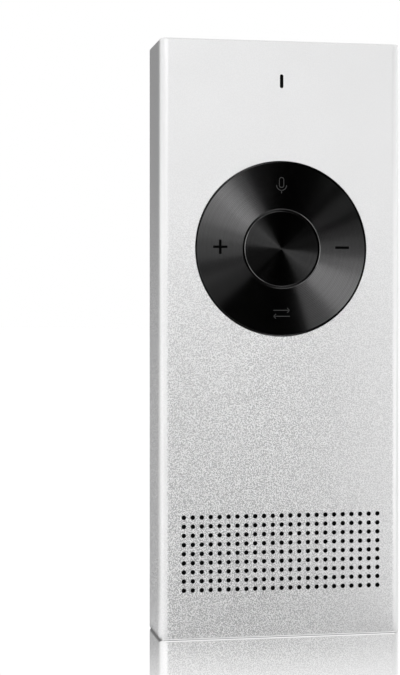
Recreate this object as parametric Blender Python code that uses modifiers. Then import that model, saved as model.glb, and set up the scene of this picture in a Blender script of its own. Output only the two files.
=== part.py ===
"""Handheld translator: a slim aluminium sleeve with a rocking ring, a centre button,
a speaker grille and a microphone slot, and everything that it holds inside.

It stands on its lower end. The front faces -Y, +Z runs up its length and the origin is
the middle of its lower end. All lengths are in metres.
"""

import math

import bmesh
import bpy
from mathutils import Vector

# Housing sleeve
BODY_WIDTH = 0.0456
BODY_DEPTH = 0.0136
BODY_HEIGHT = 0.1100
LONG_EDGE_RADIUS = 0.00165
OUTLINE_CORNER_RADIUS = 0.0007
END_CHAMFER = 0.00025
FACE_WALL = 0.0012
SIDE_WALL = 0.0028
CAVITY_CORNER_RADIUS = 0.0012

# Clearances
GAP = 0.0003
RING_SLIT = 0.00025
BUTTON_SLIT = 0.0003
WINDOW_SEAM = 0.00025
KEY_RECESS = 0.00005
CAP_RECESS = 0.0002
OVERRUN = 0.001
ROOT = 0.0002
MERGE_DISTANCE = 0.000001

# Speaker grille
HOLE_DIAMETER = 0.00074
HOLE_PITCH = 0.001665
GRILLE_CENTRE_HEIGHT = 0.0157
GRILLE_FIELD_HEIGHT = 0.0142
GRILLE_BORDER = 0.0010

# Microphone slot
SLOT_WIDTH = 0.0006
SLOT_LENGTH = 0.0025
SLOT_BELOW_TOP = 0.0076

# Antenna window in the back
WINDOW_SIDE_MARGIN = 0.0047
WINDOW_TAPER = 0.0024
WINDOW_HEIGHT = 0.0092
WINDOW_CORNER_RADIUS = 0.0024
WINDOW_FLANGE = 0.0005
WINDOW_FLANGE_THICKNESS = 0.0008
ANTENNA_FLEX_THICKNESS = 0.0002
ANTENNA_FLEX_INSET = 0.0007
ANTENNA_CARRIER_THICKNESS = 0.0025

# Keys
KEY_BELOW_TOP = 0.0384
RING_SIDE_MARGIN = 0.0066
RING_BORE_SHARE = 0.45
RING_THICKNESS = 0.00185
RING_EDGE_CHAMFER = 0.0001
RING_FLANGE = 0.00125
RING_FLANGE_THICKNESS = 0.0006
RING_FLANGE_PLAY = 0.0005
RING_FLANGE_INNER_STEP = 0.00095
GIMBAL_SPACE = 0.0007
GIMBAL_THICKNESS = 0.0005
GIMBAL_MARGIN = 0.0016
GIMBAL_RIM_WIDTH = 0.0022
POST_WIDTH = 0.0016
POST_LENGTH = 0.0012
POST_ARM_THICKNESS = 0.0004
NUB_DIAMETER = 0.0016
DOME_DIAMETER = 0.0038
DOME_HEIGHT = 0.0003
BUTTON_CHAMFER = 0.0003
BUTTON_TRAVEL = 0.0003
BUTTON_FLANGE = 0.0010
BUTTON_FLANGE_THICKNESS = 0.0004
BUTTON_FLANGE_PLAY = 0.0004
PRESS_CLEARANCE = 0.00015
SIGN_ARM_LENGTH = 0.0024
SIGN_STROKE = 0.0004
SIGN_DEPTH = 0.00012
SIGN_PLACE_SHARE = 0.475
KEY_FRAME_RIM_WIDTH = 0.0038
KEY_FRAME_THICKNESS = 0.0007
KEY_FRAME_HOLE_PLAY = 0.0006
KEY_FRAME_CORNER_RADIUS = 0.0020

# Main board and what it carries
BOARD_THICKNESS = 0.0008
BOARD_CORNER_RADIUS = 0.0012
BOARD_SCREW_INSET = 0.0018
SCREW_SHANK_DIAMETER = 0.0014
SCREW_HEAD_DIAMETER = 0.0028
SCREW_HEAD_HEIGHT = 0.0008
SCREW_CHAMFER = 0.0003
SCREW_SOCKET_DIAMETER = 0.0014
SCREW_SOCKET_DEPTH = 0.0004
BOARD_SCREW_LENGTH = 0.0045
SHIELD_SIDE_MARGIN = 0.0046
SHIELD_HEIGHT = 0.0320
SHIELD_THICKNESS = 0.0014
SHIELD_WALL = 0.0002
CHIP_THICKNESS = 0.0007
CHIP_EDGE = 0.0001
MIC_WIDTH = 0.0035
MIC_HEIGHT = 0.0027
MIC_THICKNESS = 0.0009
MIC_BOOT_DIAMETER = 0.0048
MIC_BOOT_THICKNESS = 0.00065
MESH_THICKNESS = 0.00015

# Chassis, battery and leads
CHASSIS_WALL = 0.0008
CHASSIS_FLOOR = 0.0005
CHASSIS_FRONT_ABOVE_BOARD = 0.0008
BOSS_WALL = 0.0008
BATTERY_SIDE_MARGIN = 0.0019
BATTERY_CORNER_RADIUS = 0.0015
BATTERY_EDGE = 0.0005
BATTERY_PAD_THICKNESS = 0.0003
BATTERY_PAD_MARGIN = 0.0040
PLUG_WIDTH = 0.0040
PLUG_HEIGHT = 0.0025
PLUG_THICKNESS = 0.0012
LEAD_DIAMETER = 0.0007
LEAD_SPACING = 0.0016

# Speaker
SPEAKER_HEIGHT = 0.0156
SPEAKER_WALL = 0.0005
SPEAKER_CORNER_RADIUS = 0.0010
GASKET_THICKNESS = 0.0004
CONE_SURROUND_GAP = 0.0005
MAGNET_WIDTH = 0.0200
MAGNET_HEIGHT = 0.0080

# End caps and charging socket
CAP_THICKNESS = 0.0018
CAP_TONGUE_PLAY = 0.00065
CAP_TONGUE_THICKNESS = 0.0008
CAP_TONGUE_LENGTH = 0.0045
CAP_SCREW_INSET = 0.0047
CAP_SCREW_LENGTH = 0.0060
SOCKET_WIDTH = 0.00894
SOCKET_HEIGHT = 0.0032
SOCKET_LENGTH = 0.0073
SOCKET_WALL = 0.0003
SOCKET_RECESS = 0.0005
TONGUE_WIDTH = 0.0067
TONGUE_THICKNESS = 0.0007
TONGUE_RECESS = 0.0008
TONGUE_BASE = 0.0016
CAP_BOSS_LENGTH = 0.0070
LEDGE_WIDTH = 0.0030
FLEX_WIDTH = 0.0080
FLEX_THICKNESS = 0.00015
FLEX_LANDING = 0.0040
FLEX_RISE = 0.0034

# How finely round shapes are cut
CIRCLE_STEPS = 48
SMALL_CIRCLE_STEPS = 12
HOLE_STEPS = 6
ARC_STEPS = 4

# Chips on the main board: place across, place up, width and height, as shares of the shield
CHIP_SHARES = (
    ("processor_chip", -0.20, 0.20, 0.42, 0.40),
    ("memory_chip", 0.26, 0.22, 0.26, 0.32),
    ("radio_chip", -0.24, -0.26, 0.30, 0.28),
    ("power_chip", 0.20, -0.24, 0.34, 0.24),
)

# Where the cone and the magnet start and end, as shares of the room in the speaker frame
CONE_DEPTH_SHARES = (0.14, 0.31)
MAGNET_DEPTH_SHARES = (0.49, 0.83)

# A snap dome's crown: distance out and height, as shares of its radius and its height
DOME_CROWN_SHARES = ((0.0, 1.0), (0.45, 0.85), (0.8, 0.4))
FLEX_STEPS = 10

# Planes across the depth, from the front wall inwards
FRONT = -BODY_DEPTH / 2
BACK = BODY_DEPTH / 2
INNER_FRONT = FRONT + FACE_WALL
INNER_BACK = BACK - FACE_WALL
KEY_FRONT = FRONT + KEY_RECESS
RING_BACK = KEY_FRONT + RING_THICKNESS
RING_FLANGE_FRONT = INNER_FRONT + RING_FLANGE_PLAY
RING_FLANGE_BACK = RING_FLANGE_FRONT + RING_FLANGE_THICKNESS
GIMBAL_FRONT = RING_BACK + GIMBAL_SPACE
GIMBAL_BACK = GIMBAL_FRONT + GIMBAL_THICKNESS
PIVOT_PLANE = (GIMBAL_FRONT + GIMBAL_BACK) / 2
POST_TIP = GIMBAL_BACK + GAP
KEY_FRAME_BACK = POST_TIP + POST_ARM_THICKNESS
KEY_FRAME_FRONT = KEY_FRAME_BACK - KEY_FRAME_THICKNESS
BOARD_FRONT = KEY_FRAME_BACK + GAP
BOARD_BACK = BOARD_FRONT + BOARD_THICKNESS
DOME_BASE = BOARD_FRONT - GAP
DOME_CREST = DOME_BASE - DOME_HEIGHT
NUB_TIP = DOME_CREST - GAP
BUTTON_FLANGE_FRONT = RING_BACK + BUTTON_FLANGE_PLAY
BUTTON_FLANGE_BACK = BUTTON_FLANGE_FRONT + BUTTON_FLANGE_THICKNESS
BUTTON_TIP = DOME_CREST - BUTTON_TRAVEL - PRESS_CLEARANCE
MESH_FRONT = INNER_FRONT + GAP
MESH_BACK = MESH_FRONT + MESH_THICKNESS
GASKET_FRONT = MESH_BACK + GAP
GASKET_BACK = GASKET_FRONT + GASKET_THICKNESS
SPEAKER_FRONT = GASKET_BACK + GAP
SOCKET_CENTRE = (FRONT + BACK) / 2
SPEAKER_BACK = SOCKET_CENTRE - SOCKET_HEIGHT / 2 - GAP
SHIELD_FRONT = BOARD_BACK + GAP
SHIELD_BACK = SHIELD_FRONT + SHIELD_THICKNESS
FLOOR_BACK = INNER_BACK - GAP
FLOOR_FRONT = FLOOR_BACK - CHASSIS_FLOOR
PAD_BACK = FLOOR_FRONT - GAP
PAD_FRONT = PAD_BACK - BATTERY_PAD_THICKNESS
BATTERY_FRONT = SHIELD_BACK + GAP
BATTERY_BACK = PAD_FRONT - GAP
SOCKET_BOARD_FRONT = SOCKET_CENTRE + SOCKET_HEIGHT / 2 + GAP
SOCKET_BOARD_BACK = SOCKET_BOARD_FRONT + BOARD_THICKNESS
WINDOW_FLANGE_BACK = INNER_BACK - GAP
WINDOW_FLANGE_FRONT = WINDOW_FLANGE_BACK - WINDOW_FLANGE_THICKNESS
ANTENNA_FLEX_BACK = WINDOW_FLANGE_FRONT - GAP
ANTENNA_FLEX_FRONT = ANTENNA_FLEX_BACK - ANTENNA_FLEX_THICKNESS
CARRIER_BACK = ANTENNA_FLEX_FRONT - GAP
CARRIER_FRONT = CARRIER_BACK - ANTENNA_CARRIER_THICKNESS

# Places along the length
KEY_HEIGHT = BODY_HEIGHT - KEY_BELOW_TOP
SLOT_HEIGHT = BODY_HEIGHT - SLOT_BELOW_TOP
WINDOW_BOTTOM = BODY_HEIGHT - WINDOW_HEIGHT
TOP_CAP_TOP = BODY_HEIGHT - CAP_RECESS
TOP_CAP_BOTTOM = TOP_CAP_TOP - CAP_THICKNESS
BOTTOM_CAP_TOP = CAP_RECESS + CAP_THICKNESS
CHASSIS_BOTTOM = BOTTOM_CAP_TOP + GAP
CHASSIS_TOP = TOP_CAP_BOTTOM - GAP
FLOOR_TOP = WINDOW_BOTTOM - WINDOW_FLANGE - 2 * GAP
SPEAKER_TOP = GRILLE_CENTRE_HEIGHT + SPEAKER_HEIGHT / 2
SPEAKER_BOTTOM = GRILLE_CENTRE_HEIGHT - SPEAKER_HEIGHT / 2
WALL_STEP = SPEAKER_TOP + 2 * GAP
BOARD_BOTTOM = WALL_STEP + SCREW_HEAD_DIAMETER
BOARD_TOP = CHASSIS_TOP - SCREW_HEAD_DIAMETER
BOSS_RADIUS = SCREW_SHANK_DIAMETER / 2 + GAP + BOSS_WALL
LOW_SCREW_HEIGHT = BOARD_BOTTOM + BOARD_SCREW_INSET
HIGH_SCREW_HEIGHT = FLOOR_TOP - BOSS_RADIUS - GAP
BATTERY_BOTTOM = LOW_SCREW_HEIGHT + BOSS_RADIUS + GAP
BATTERY_TOP = HIGH_SCREW_HEIGHT - BOSS_RADIUS - GAP
SHIELD_CENTRE_HEIGHT = (BATTERY_BOTTOM + BATTERY_TOP) / 2
SOCKET_BOTTOM = SOCKET_RECESS
SOCKET_TOP = SOCKET_BOTTOM + SOCKET_LENGTH
SOCKET_BOARD_BOTTOM = CHASSIS_BOTTOM + GAP
SOCKET_BOARD_TOP = BOARD_BOTTOM - FLEX_RISE
SOCKET_BOARD_HEIGHT = SOCKET_BOARD_TOP - SOCKET_BOARD_BOTTOM

# Widths inside the cavity
CAVITY_HALF_WIDTH = BODY_WIDTH / 2 - SIDE_WALL
CHASSIS_HALF_WIDTH = CAVITY_HALF_WIDTH - GAP
CHASSIS_INNER_HALF_WIDTH = CHASSIS_HALF_WIDTH - CHASSIS_WALL
BOARD_HALF_WIDTH = CHASSIS_INNER_HALF_WIDTH - GAP
CAP_HALF_DEPTH = INNER_BACK - GAP
BOARD_SCREW_OFFSET = BOARD_HALF_WIDTH - BOARD_SCREW_INSET
CAP_SCREW_OFFSET = CHASSIS_HALF_WIDTH - CAP_SCREW_INSET
CAP_BOSS_HALF_WIDTH = BOSS_RADIUS + BOSS_WALL
SOCKET_BOARD_WIDTH = 2 * (CAP_SCREW_OFFSET - CAP_BOSS_HALF_WIDTH - GAP)
SHIELD_WIDTH = 2 * (BOARD_HALF_WIDTH - SHIELD_SIDE_MARGIN)
BATTERY_WIDTH = 2 * (CHASSIS_INNER_HALF_WIDTH - BATTERY_SIDE_MARGIN)
GRILLE_WIDTH = 2 * (CAVITY_HALF_WIDTH - GRILLE_BORDER)
WINDOW_TOP_WIDTH = BODY_WIDTH - 2 * WINDOW_SIDE_MARGIN
WINDOW_BOTTOM_WIDTH = WINDOW_TOP_WIDTH - 2 * WINDOW_TAPER
ANTENNA_FLEX_WIDTH = WINDOW_BOTTOM_WIDTH - 2 * ANTENNA_FLEX_INSET

# Radii of the keys, from the opening in the front inwards
RING_OPENING_RADIUS = BODY_WIDTH / 2 - RING_SIDE_MARGIN
RING_RADIUS = RING_OPENING_RADIUS - RING_SLIT
RING_BORE_RADIUS = RING_OPENING_RADIUS * RING_BORE_SHARE
SIGN_CIRCLE_RADIUS = RING_BORE_RADIUS + (RING_RADIUS - RING_BORE_RADIUS) * SIGN_PLACE_SHARE
BUTTON_RADIUS = RING_BORE_RADIUS - BUTTON_SLIT
BUTTON_FLANGE_RADIUS = BUTTON_RADIUS + BUTTON_FLANGE
GIMBAL_OUTER_RADIUS = RING_OPENING_RADIUS - GIMBAL_MARGIN
GIMBAL_INNER_RADIUS = GIMBAL_OUTER_RADIUS - GIMBAL_RIM_WIDTH
GIMBAL_MIDDLE_RADIUS = (GIMBAL_OUTER_RADIUS + GIMBAL_INNER_RADIUS) / 2
DOME_CIRCLE_RADIUS = (BUTTON_FLANGE_RADIUS + GIMBAL_INNER_RADIUS) / 2
KEY_FRAME_HOLE_RADIUS = GIMBAL_OUTER_RADIUS + KEY_FRAME_HOLE_PLAY


def clear_scene():
    for obj in list(bpy.data.objects):
        bpy.data.objects.remove(obj, do_unlink=True)


def new_collection(name):
    collection = bpy.data.collections.new(name)
    bpy.context.scene.collection.children.link(collection)
    return collection


def finish(name, colour, roughness, metallic):
    """A material with one Principled shader."""
    material = bpy.data.materials.new(name)
    material.use_nodes = True
    shader = material.node_tree.nodes["Principled BSDF"]
    shader.inputs["Base Color"].default_value = (*colour, 1)
    shader.inputs["Roughness"].default_value = roughness
    shader.inputs["Metallic"].default_value = metallic
    material.diffuse_color = (*colour, 1)
    return material


def rounded_polygon(corners, radii, steps=ARC_STEPS):
    """The points of a polygon whose corners are arcs of the given radii."""
    points = []
    count = len(corners)
    for index, (corner, radius) in enumerate(zip(corners, radii)):
        here = Vector(corner)
        before = (Vector(corners[index - 1]) - here).normalized()
        after = (Vector(corners[(index + 1) % count]) - here).normalized()
        if radius == 0:
            points.append(here)
            continue
        half_angle = before.angle(after) / 2
        centre = here + (before + after).normalized() * radius / math.sin(half_angle)
        start = here + before * radius / math.tan(half_angle) - centre
        end = here + after * radius / math.tan(half_angle) - centre
        sweep = start.angle(end)
        for step in range(steps + 1):
            share = step / steps
            offset = start * math.sin((1 - share) * sweep) + end * math.sin(share * sweep)
            points.append(centre + offset / math.sin(sweep))
    return [
        point
        for index, point in enumerate(points)
        if (point - points[index - 1]).length > MERGE_DISTANCE
    ]


def rounded_rectangle(width, height, radius, centre=(0, 0), steps=ARC_STEPS):
    across, up = centre
    corners = [
        (across - width / 2, up - height / 2),
        (across + width / 2, up - height / 2),
        (across + width / 2, up + height / 2),
        (across - width / 2, up + height / 2),
    ]
    return rounded_polygon(corners, [radius] * len(corners), steps)


def circle(diameter, centre=(0, 0), steps=SMALL_CIRCLE_STEPS):
    """A regular outline; half a step of turn puts flats on the axes."""
    points = []
    for step in range(steps):
        angle = math.tau * (step + 1 / 2) / steps
        offset = Vector((math.cos(angle), math.sin(angle))) * diameter / 2
        points.append(Vector(centre) + offset)
    return points


def add_mesh_object(name, mesh, collection, finish_used=None):
    obj = bpy.data.objects.new(name, mesh)
    collection.objects.link(obj)
    if finish_used:
        mesh.materials.append(finish_used)
    mesh.shade_smooth()
    mesh.set_sharp_from_angle(angle=math.radians(35))
    return obj


def clean_mesh(name, bm):
    """Welds and orients what a bmesh holds, and puts it in a new mesh."""
    bmesh.ops.remove_doubles(bm, verts=bm.verts, dist=MERGE_DISTANCE)
    bmesh.ops.recalc_face_normals(bm, faces=bm.faces)
    mesh = bpy.data.meshes.new(name)
    bm.to_mesh(mesh)
    bm.free()
    return mesh


def mesh_of(obj, name):
    """The evaluated shape of an object as a welded mesh in world space; the object goes."""
    graph = bpy.context.evaluated_depsgraph_get()
    graph.update()
    mesh = bpy.data.meshes.new_from_object(obj.evaluated_get(graph))
    bm = bmesh.new()
    bm.from_mesh(mesh)
    bm.transform(obj.matrix_world)
    bpy.data.meshes.remove(mesh)
    bpy.data.objects.remove(obj, do_unlink=True)
    return clean_mesh(name, bm)


TURN_TO_AXIS = {
    "X": (math.pi / 2, 0, math.pi / 2),
    "Y": (math.pi / 2, 0, 0),
    "Z": (0, 0, 0),
}


def extruded(name, outlines, axis, low, high, collection, finish_used=None):
    """Flat outlines filled and extruded along one axis from low to high.

    Along Y the outlines are in X and Z, along Z in X and Y, and along X in Y and Z.
    An outline inside another one is a hole.
    """
    curve = bpy.data.curves.new(name, "CURVE")
    curve.dimensions = "2D"
    curve.fill_mode = "BOTH"
    curve.extrude = (high - low) / 2
    for outline in outlines:
        spline = curve.splines.new("POLY")
        spline.points.add(len(outline) - 1)
        for target, point in zip(spline.points, outline):
            target.co = (*point, 0, 1)
        spline.use_cyclic_u = True
    guide = bpy.data.objects.new(name, curve)
    guide.rotation_euler = TURN_TO_AXIS[axis]
    guide.location["XYZ".index(axis)] = (low + high) / 2
    collection.objects.link(guide)
    bpy.context.view_layer.update()
    return add_mesh_object(name, mesh_of(guide, name), collection, finish_used)


def box(name, x_span, y_span, z_span, collection, finish_used=None):
    """A box between two limits along each axis."""
    spans = (x_span, y_span, z_span)
    bm = bmesh.new()
    bmesh.ops.create_cube(bm, size=1)
    bmesh.ops.scale(bm, verts=bm.verts, vec=[high - low for low, high in spans])
    mesh = bpy.data.meshes.new(name)
    bm.to_mesh(mesh)
    bm.free()
    obj = add_mesh_object(name, mesh, collection, finish_used)
    obj.location = [(low + high) / 2 for low, high in spans]
    return obj


def turned(name, profile, place, collection, finish_used=None, ring=False, steps=CIRCLE_STEPS):
    """A profile of radius and height turned about the local Z axis.

    Its heights count towards the front, because the object is turned to face -Y.
    The profile runs along the top, down the outside and back along the bottom.
    """
    mesh = bpy.data.meshes.new(name)
    edges = [(index, index + 1) for index in range(len(profile) - 1)]
    if ring:
        edges.append((len(profile) - 1, 0))
    mesh.from_pydata([(radius, 0, height) for radius, height in profile], edges, [])
    obj = bpy.data.objects.new(name, mesh)
    collection.objects.link(obj)
    if finish_used:
        mesh.materials.append(finish_used)
    obj.location = place
    obj.rotation_euler = TURN_TO_AXIS["Y"]
    screw = obj.modifiers.new("turn", "SCREW")
    screw.axis = "Z"
    screw.steps = steps
    screw.render_steps = steps
    screw.use_merge_vertices = True
    screw.merge_threshold = MERGE_DISTANCE
    return obj


def boolean(target, tool, operation):
    modifier = target.modifiers.new(tool.name, "BOOLEAN")
    modifier.operation = operation
    modifier.solver = "EXACT"
    modifier.object = tool
    tool.hide_render = True
    tool.display_type = "WIRE"


def rounded_edges(obj, width, segments=2):
    bevel = obj.modifiers.new("rounded edges", "BEVEL")
    bevel.width = width
    bevel.segments = segments
    bevel.limit_method = "ANGLE"


def mirrored_pairs(offset):
    return (-offset, offset)


def window_outline(inset, top):
    """The antenna window's outline, drawn in by inset and cut off at the height top."""
    slant = (WINDOW_TOP_WIDTH - WINDOW_BOTTOM_WIDTH) / 2 / WINDOW_HEIGHT
    side_inset = inset * math.hypot(1, slant)
    low = WINDOW_BOTTOM + inset
    low_half = WINDOW_BOTTOM_WIDTH / 2 + slant * inset - side_inset
    top_half = WINDOW_BOTTOM_WIDTH / 2 + slant * (top - WINDOW_BOTTOM) - side_inset
    corners = [(-low_half, low), (low_half, low), (top_half, top), (-top_half, top)]
    radius = WINDOW_CORNER_RADIUS - inset
    return rounded_polygon(corners, [radius, radius, 0, 0])


def grille_centres():
    """The grille holes' centres: as many columns and rows as the speaker's field takes."""
    columns = int((GRILLE_WIDTH - HOLE_DIAMETER) / HOLE_PITCH) + 1
    rows = int((GRILLE_FIELD_HEIGHT - HOLE_DIAMETER) / HOLE_PITCH) + 1
    for column in range(columns):
        for row in range(rows):
            across = (column - (columns - 1) / 2) * HOLE_PITCH
            up = GRILLE_CENTRE_HEIGHT + (row - (rows - 1) / 2) * HOLE_PITCH
            yield across, up


def outline_corner_waste():
    """The four areas outside the round corners of the outline seen from the front."""
    side = BODY_WIDTH / 2
    for across in (-1, 1):
        for end, up in ((0, 1), (BODY_HEIGHT, -1)):
            inner = side - OUTLINE_CORNER_RADIUS
            arc = []
            for step in range(ARC_STEPS + 1):
                angle = math.pi / 2 * step / ARC_STEPS
                out = inner + OUTLINE_CORNER_RADIUS * math.cos(angle)
                rise = OUTLINE_CORNER_RADIUS * (1 - math.sin(angle))
                arc.append((across * out, end + up * rise))
            yield [
                *arc,
                (across * inner, end - up * OVERRUN),
                (across * (side + OVERRUN), end - up * OVERRUN),
                (across * (side + OVERRUN), end + up * OUTLINE_CORNER_RADIUS),
            ]


def end_chamfer_waste():
    """The four slivers outside the chamfers on the front and back edges of both ends."""
    for face, out in ((FRONT, -1), (BACK, 1)):
        for end, up in ((0, 1), (BODY_HEIGHT, -1)):
            yield [
                (face - out * (END_CHAMFER + OVERRUN), end - up * OVERRUN),
                (face + out * OVERRUN, end + up * (END_CHAMFER + OVERRUN)),
                (face + out * OVERRUN, end - up * OVERRUN),
            ]


def make_housing_sleeve(parts, cutters, look):
    sleeve = extruded(
        "housing_sleeve",
        [rounded_rectangle(BODY_WIDTH, BODY_DEPTH, LONG_EDGE_RADIUS)],
        "Z", 0, BODY_HEIGHT, parts, look,
    )
    cavity = rounded_rectangle(
        2 * CAVITY_HALF_WIDTH, INNER_BACK - INNER_FRONT, CAVITY_CORNER_RADIUS
    )
    slot = rounded_rectangle(SLOT_WIDTH, SLOT_LENGTH, SLOT_WIDTH / 2, (0, SLOT_HEIGHT))
    key_opening = circle(2 * RING_OPENING_RADIUS, (0, KEY_HEIGHT), CIRCLE_STEPS)
    holes = [circle(HOLE_DIAMETER, centre, HOLE_STEPS) for centre in grille_centres()]
    front_cuts = [key_opening, slot, *holes]
    reach = BODY_WIDTH / 2 + OVERRUN
    tools = (
        extruded("outline_corner_waste", list(outline_corner_waste()),
                 "Y", FRONT - OVERRUN, BACK + OVERRUN, cutters),
        extruded("end_chamfer_waste", list(end_chamfer_waste()),
                 "X", -reach, reach, cutters),
        extruded("cavity_core", [cavity], "Z", -OVERRUN, BODY_HEIGHT + OVERRUN, cutters),
        extruded("window_notch", [window_outline(0, BODY_HEIGHT + OVERRUN)],
                 "Y", INNER_BACK - OVERRUN, BACK + OVERRUN, cutters),
        extruded("front_cuts", front_cuts,
                 "Y", FRONT - OVERRUN, INNER_FRONT + OVERRUN, cutters),
    )
    for tool in tools:
        boolean(sleeve, tool, "DIFFERENCE")


def make_antenna_window(parts, cutters, plastic, copper, carrier_plastic):
    window = extruded(
        "antenna_window",
        [window_outline(WINDOW_SEAM, BODY_HEIGHT - KEY_RECESS)],
        "Y", INNER_BACK, BACK, parts, plastic,
    )
    neck = extruded(
        "window_neck",
        [window_outline(WINDOW_SEAM + ROOT, CHASSIS_TOP - ROOT)],
        "Y", WINDOW_FLANGE_FRONT + ROOT, INNER_BACK + ROOT, cutters,
    )
    flange = extruded(
        "window_flange",
        [window_outline(-WINDOW_FLANGE, CHASSIS_TOP)],
        "Y", WINDOW_FLANGE_FRONT, WINDOW_FLANGE_BACK, cutters,
    )
    boolean(window, neck, "UNION")
    boolean(window, flange, "UNION")
    carrier_bottom = FLOOR_TOP + GAP
    carrier_height = CHASSIS_TOP - carrier_bottom
    centre = (0, (CHASSIS_TOP + carrier_bottom) / 2)
    extruded(
        "antenna_flex",
        [rounded_rectangle(ANTENNA_FLEX_WIDTH, carrier_height - 2 * GAP, 0, centre)],
        "Y", ANTENNA_FLEX_FRONT, ANTENNA_FLEX_BACK, parts, copper,
    )
    carrier = extruded(
        "antenna_carrier",
        [rounded_rectangle(2 * BOARD_HALF_WIDTH, carrier_height, BOARD_CORNER_RADIUS, centre)],
        "Y", CARRIER_FRONT, CARRIER_BACK, parts, carrier_plastic,
    )
    rounded_edges(carrier, CHIP_EDGE, 1)


def make_end_caps(parts, cutters, plastic):
    outline = rounded_rectangle(
        2 * CHASSIS_HALF_WIDTH, 2 * CAP_HALF_DEPTH, CAVITY_CORNER_RADIUS - GAP
    )
    top_cap = extruded("top_cap", [outline], "Z", TOP_CAP_BOTTOM, TOP_CAP_TOP, parts, plastic)
    tongue_outer = BOARD_HALF_WIDTH - CHASSIS_WALL
    for side, name in ((-1, "left_cap_tongue"), (1, "right_cap_tongue")):
        edges = sorted((side * tongue_outer, side * (tongue_outer - CAP_TONGUE_THICKNESS)))
        tongue = box(
            name, edges, (BOARD_BACK + CAP_TONGUE_PLAY, CARRIER_FRONT - CAP_TONGUE_PLAY),
            (TOP_CAP_BOTTOM - CAP_TONGUE_LENGTH, TOP_CAP_BOTTOM + ROOT), cutters,
        )
        boolean(top_cap, tongue, "UNION")

    socket_hole = rounded_rectangle(
        SOCKET_WIDTH + 2 * GAP, SOCKET_HEIGHT + 2 * GAP,
        SOCKET_HEIGHT / 2 + GAP, (0, SOCKET_CENTRE),
    )
    screw_holes = [
        circle(SCREW_SHANK_DIAMETER + 2 * GAP, (offset, 0))
        for offset in mirrored_pairs(CAP_SCREW_OFFSET)
    ]
    bottom_cap = extruded(
        "bottom_cap", [outline, socket_hole, *screw_holes],
        "Z", CAP_RECESS, BOTTOM_CAP_TOP, parts, plastic,
    )
    head_wells = extruded(
        "screw_head_wells",
        [
            circle(SCREW_HEAD_DIAMETER + 2 * GAP, (offset, 0))
            for offset in mirrored_pairs(CAP_SCREW_OFFSET)
        ],
        "Z", CAP_RECESS - OVERRUN, CAP_RECESS + SCREW_HEAD_HEIGHT + GAP, cutters,
    )
    boolean(bottom_cap, head_wells, "DIFFERENCE")


def make_screw(name, length, place, downwards, parts, cutters, steel):
    """A pan-head screw with a six-sided socket; its head's underside is at its origin."""
    shank = SCREW_SHANK_DIAMETER / 2
    head = SCREW_HEAD_DIAMETER / 2
    profile = [
        (0, SCREW_HEAD_HEIGHT),
        (head - SCREW_CHAMFER, SCREW_HEAD_HEIGHT),
        (head, SCREW_HEAD_HEIGHT - SCREW_CHAMFER),
        (head, 0),
        (shank, 0),
        (shank, SCREW_CHAMFER - length),
        (shank - SCREW_CHAMFER, -length),
        (0, -length),
    ]
    screw = turned(name, profile, place, parts, steel, steps=SMALL_CIRCLE_STEPS)
    socket = extruded(
        name + "_socket", [circle(SCREW_SOCKET_DIAMETER, steps=6)],
        "Z", SCREW_HEAD_HEIGHT - SCREW_SOCKET_DEPTH, SCREW_HEAD_HEIGHT + OVERRUN, cutters,
    )
    socket.parent = screw
    boolean(screw, socket, "DIFFERENCE")
    if downwards:
        screw.rotation_euler = (math.pi, 0, 0)


def make_screws(parts, cutters, steel):
    sides = (("left", -1), ("right", 1))
    for side, across in sides:
        place = (across * CAP_SCREW_OFFSET, 0, CAP_RECESS + SCREW_HEAD_HEIGHT)
        make_screw("cap_screw_" + side, CAP_SCREW_LENGTH, place, True, parts, cutters, steel)
        for level, height in (("lower", LOW_SCREW_HEIGHT), ("upper", HIGH_SCREW_HEIGHT)):
            place = (across * BOARD_SCREW_OFFSET, BOARD_FRONT - GAP, height)
            name = f"board_screw_{level}_{side}"
            make_screw(name, BOARD_SCREW_LENGTH, place, False, parts, cutters, steel)


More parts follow.
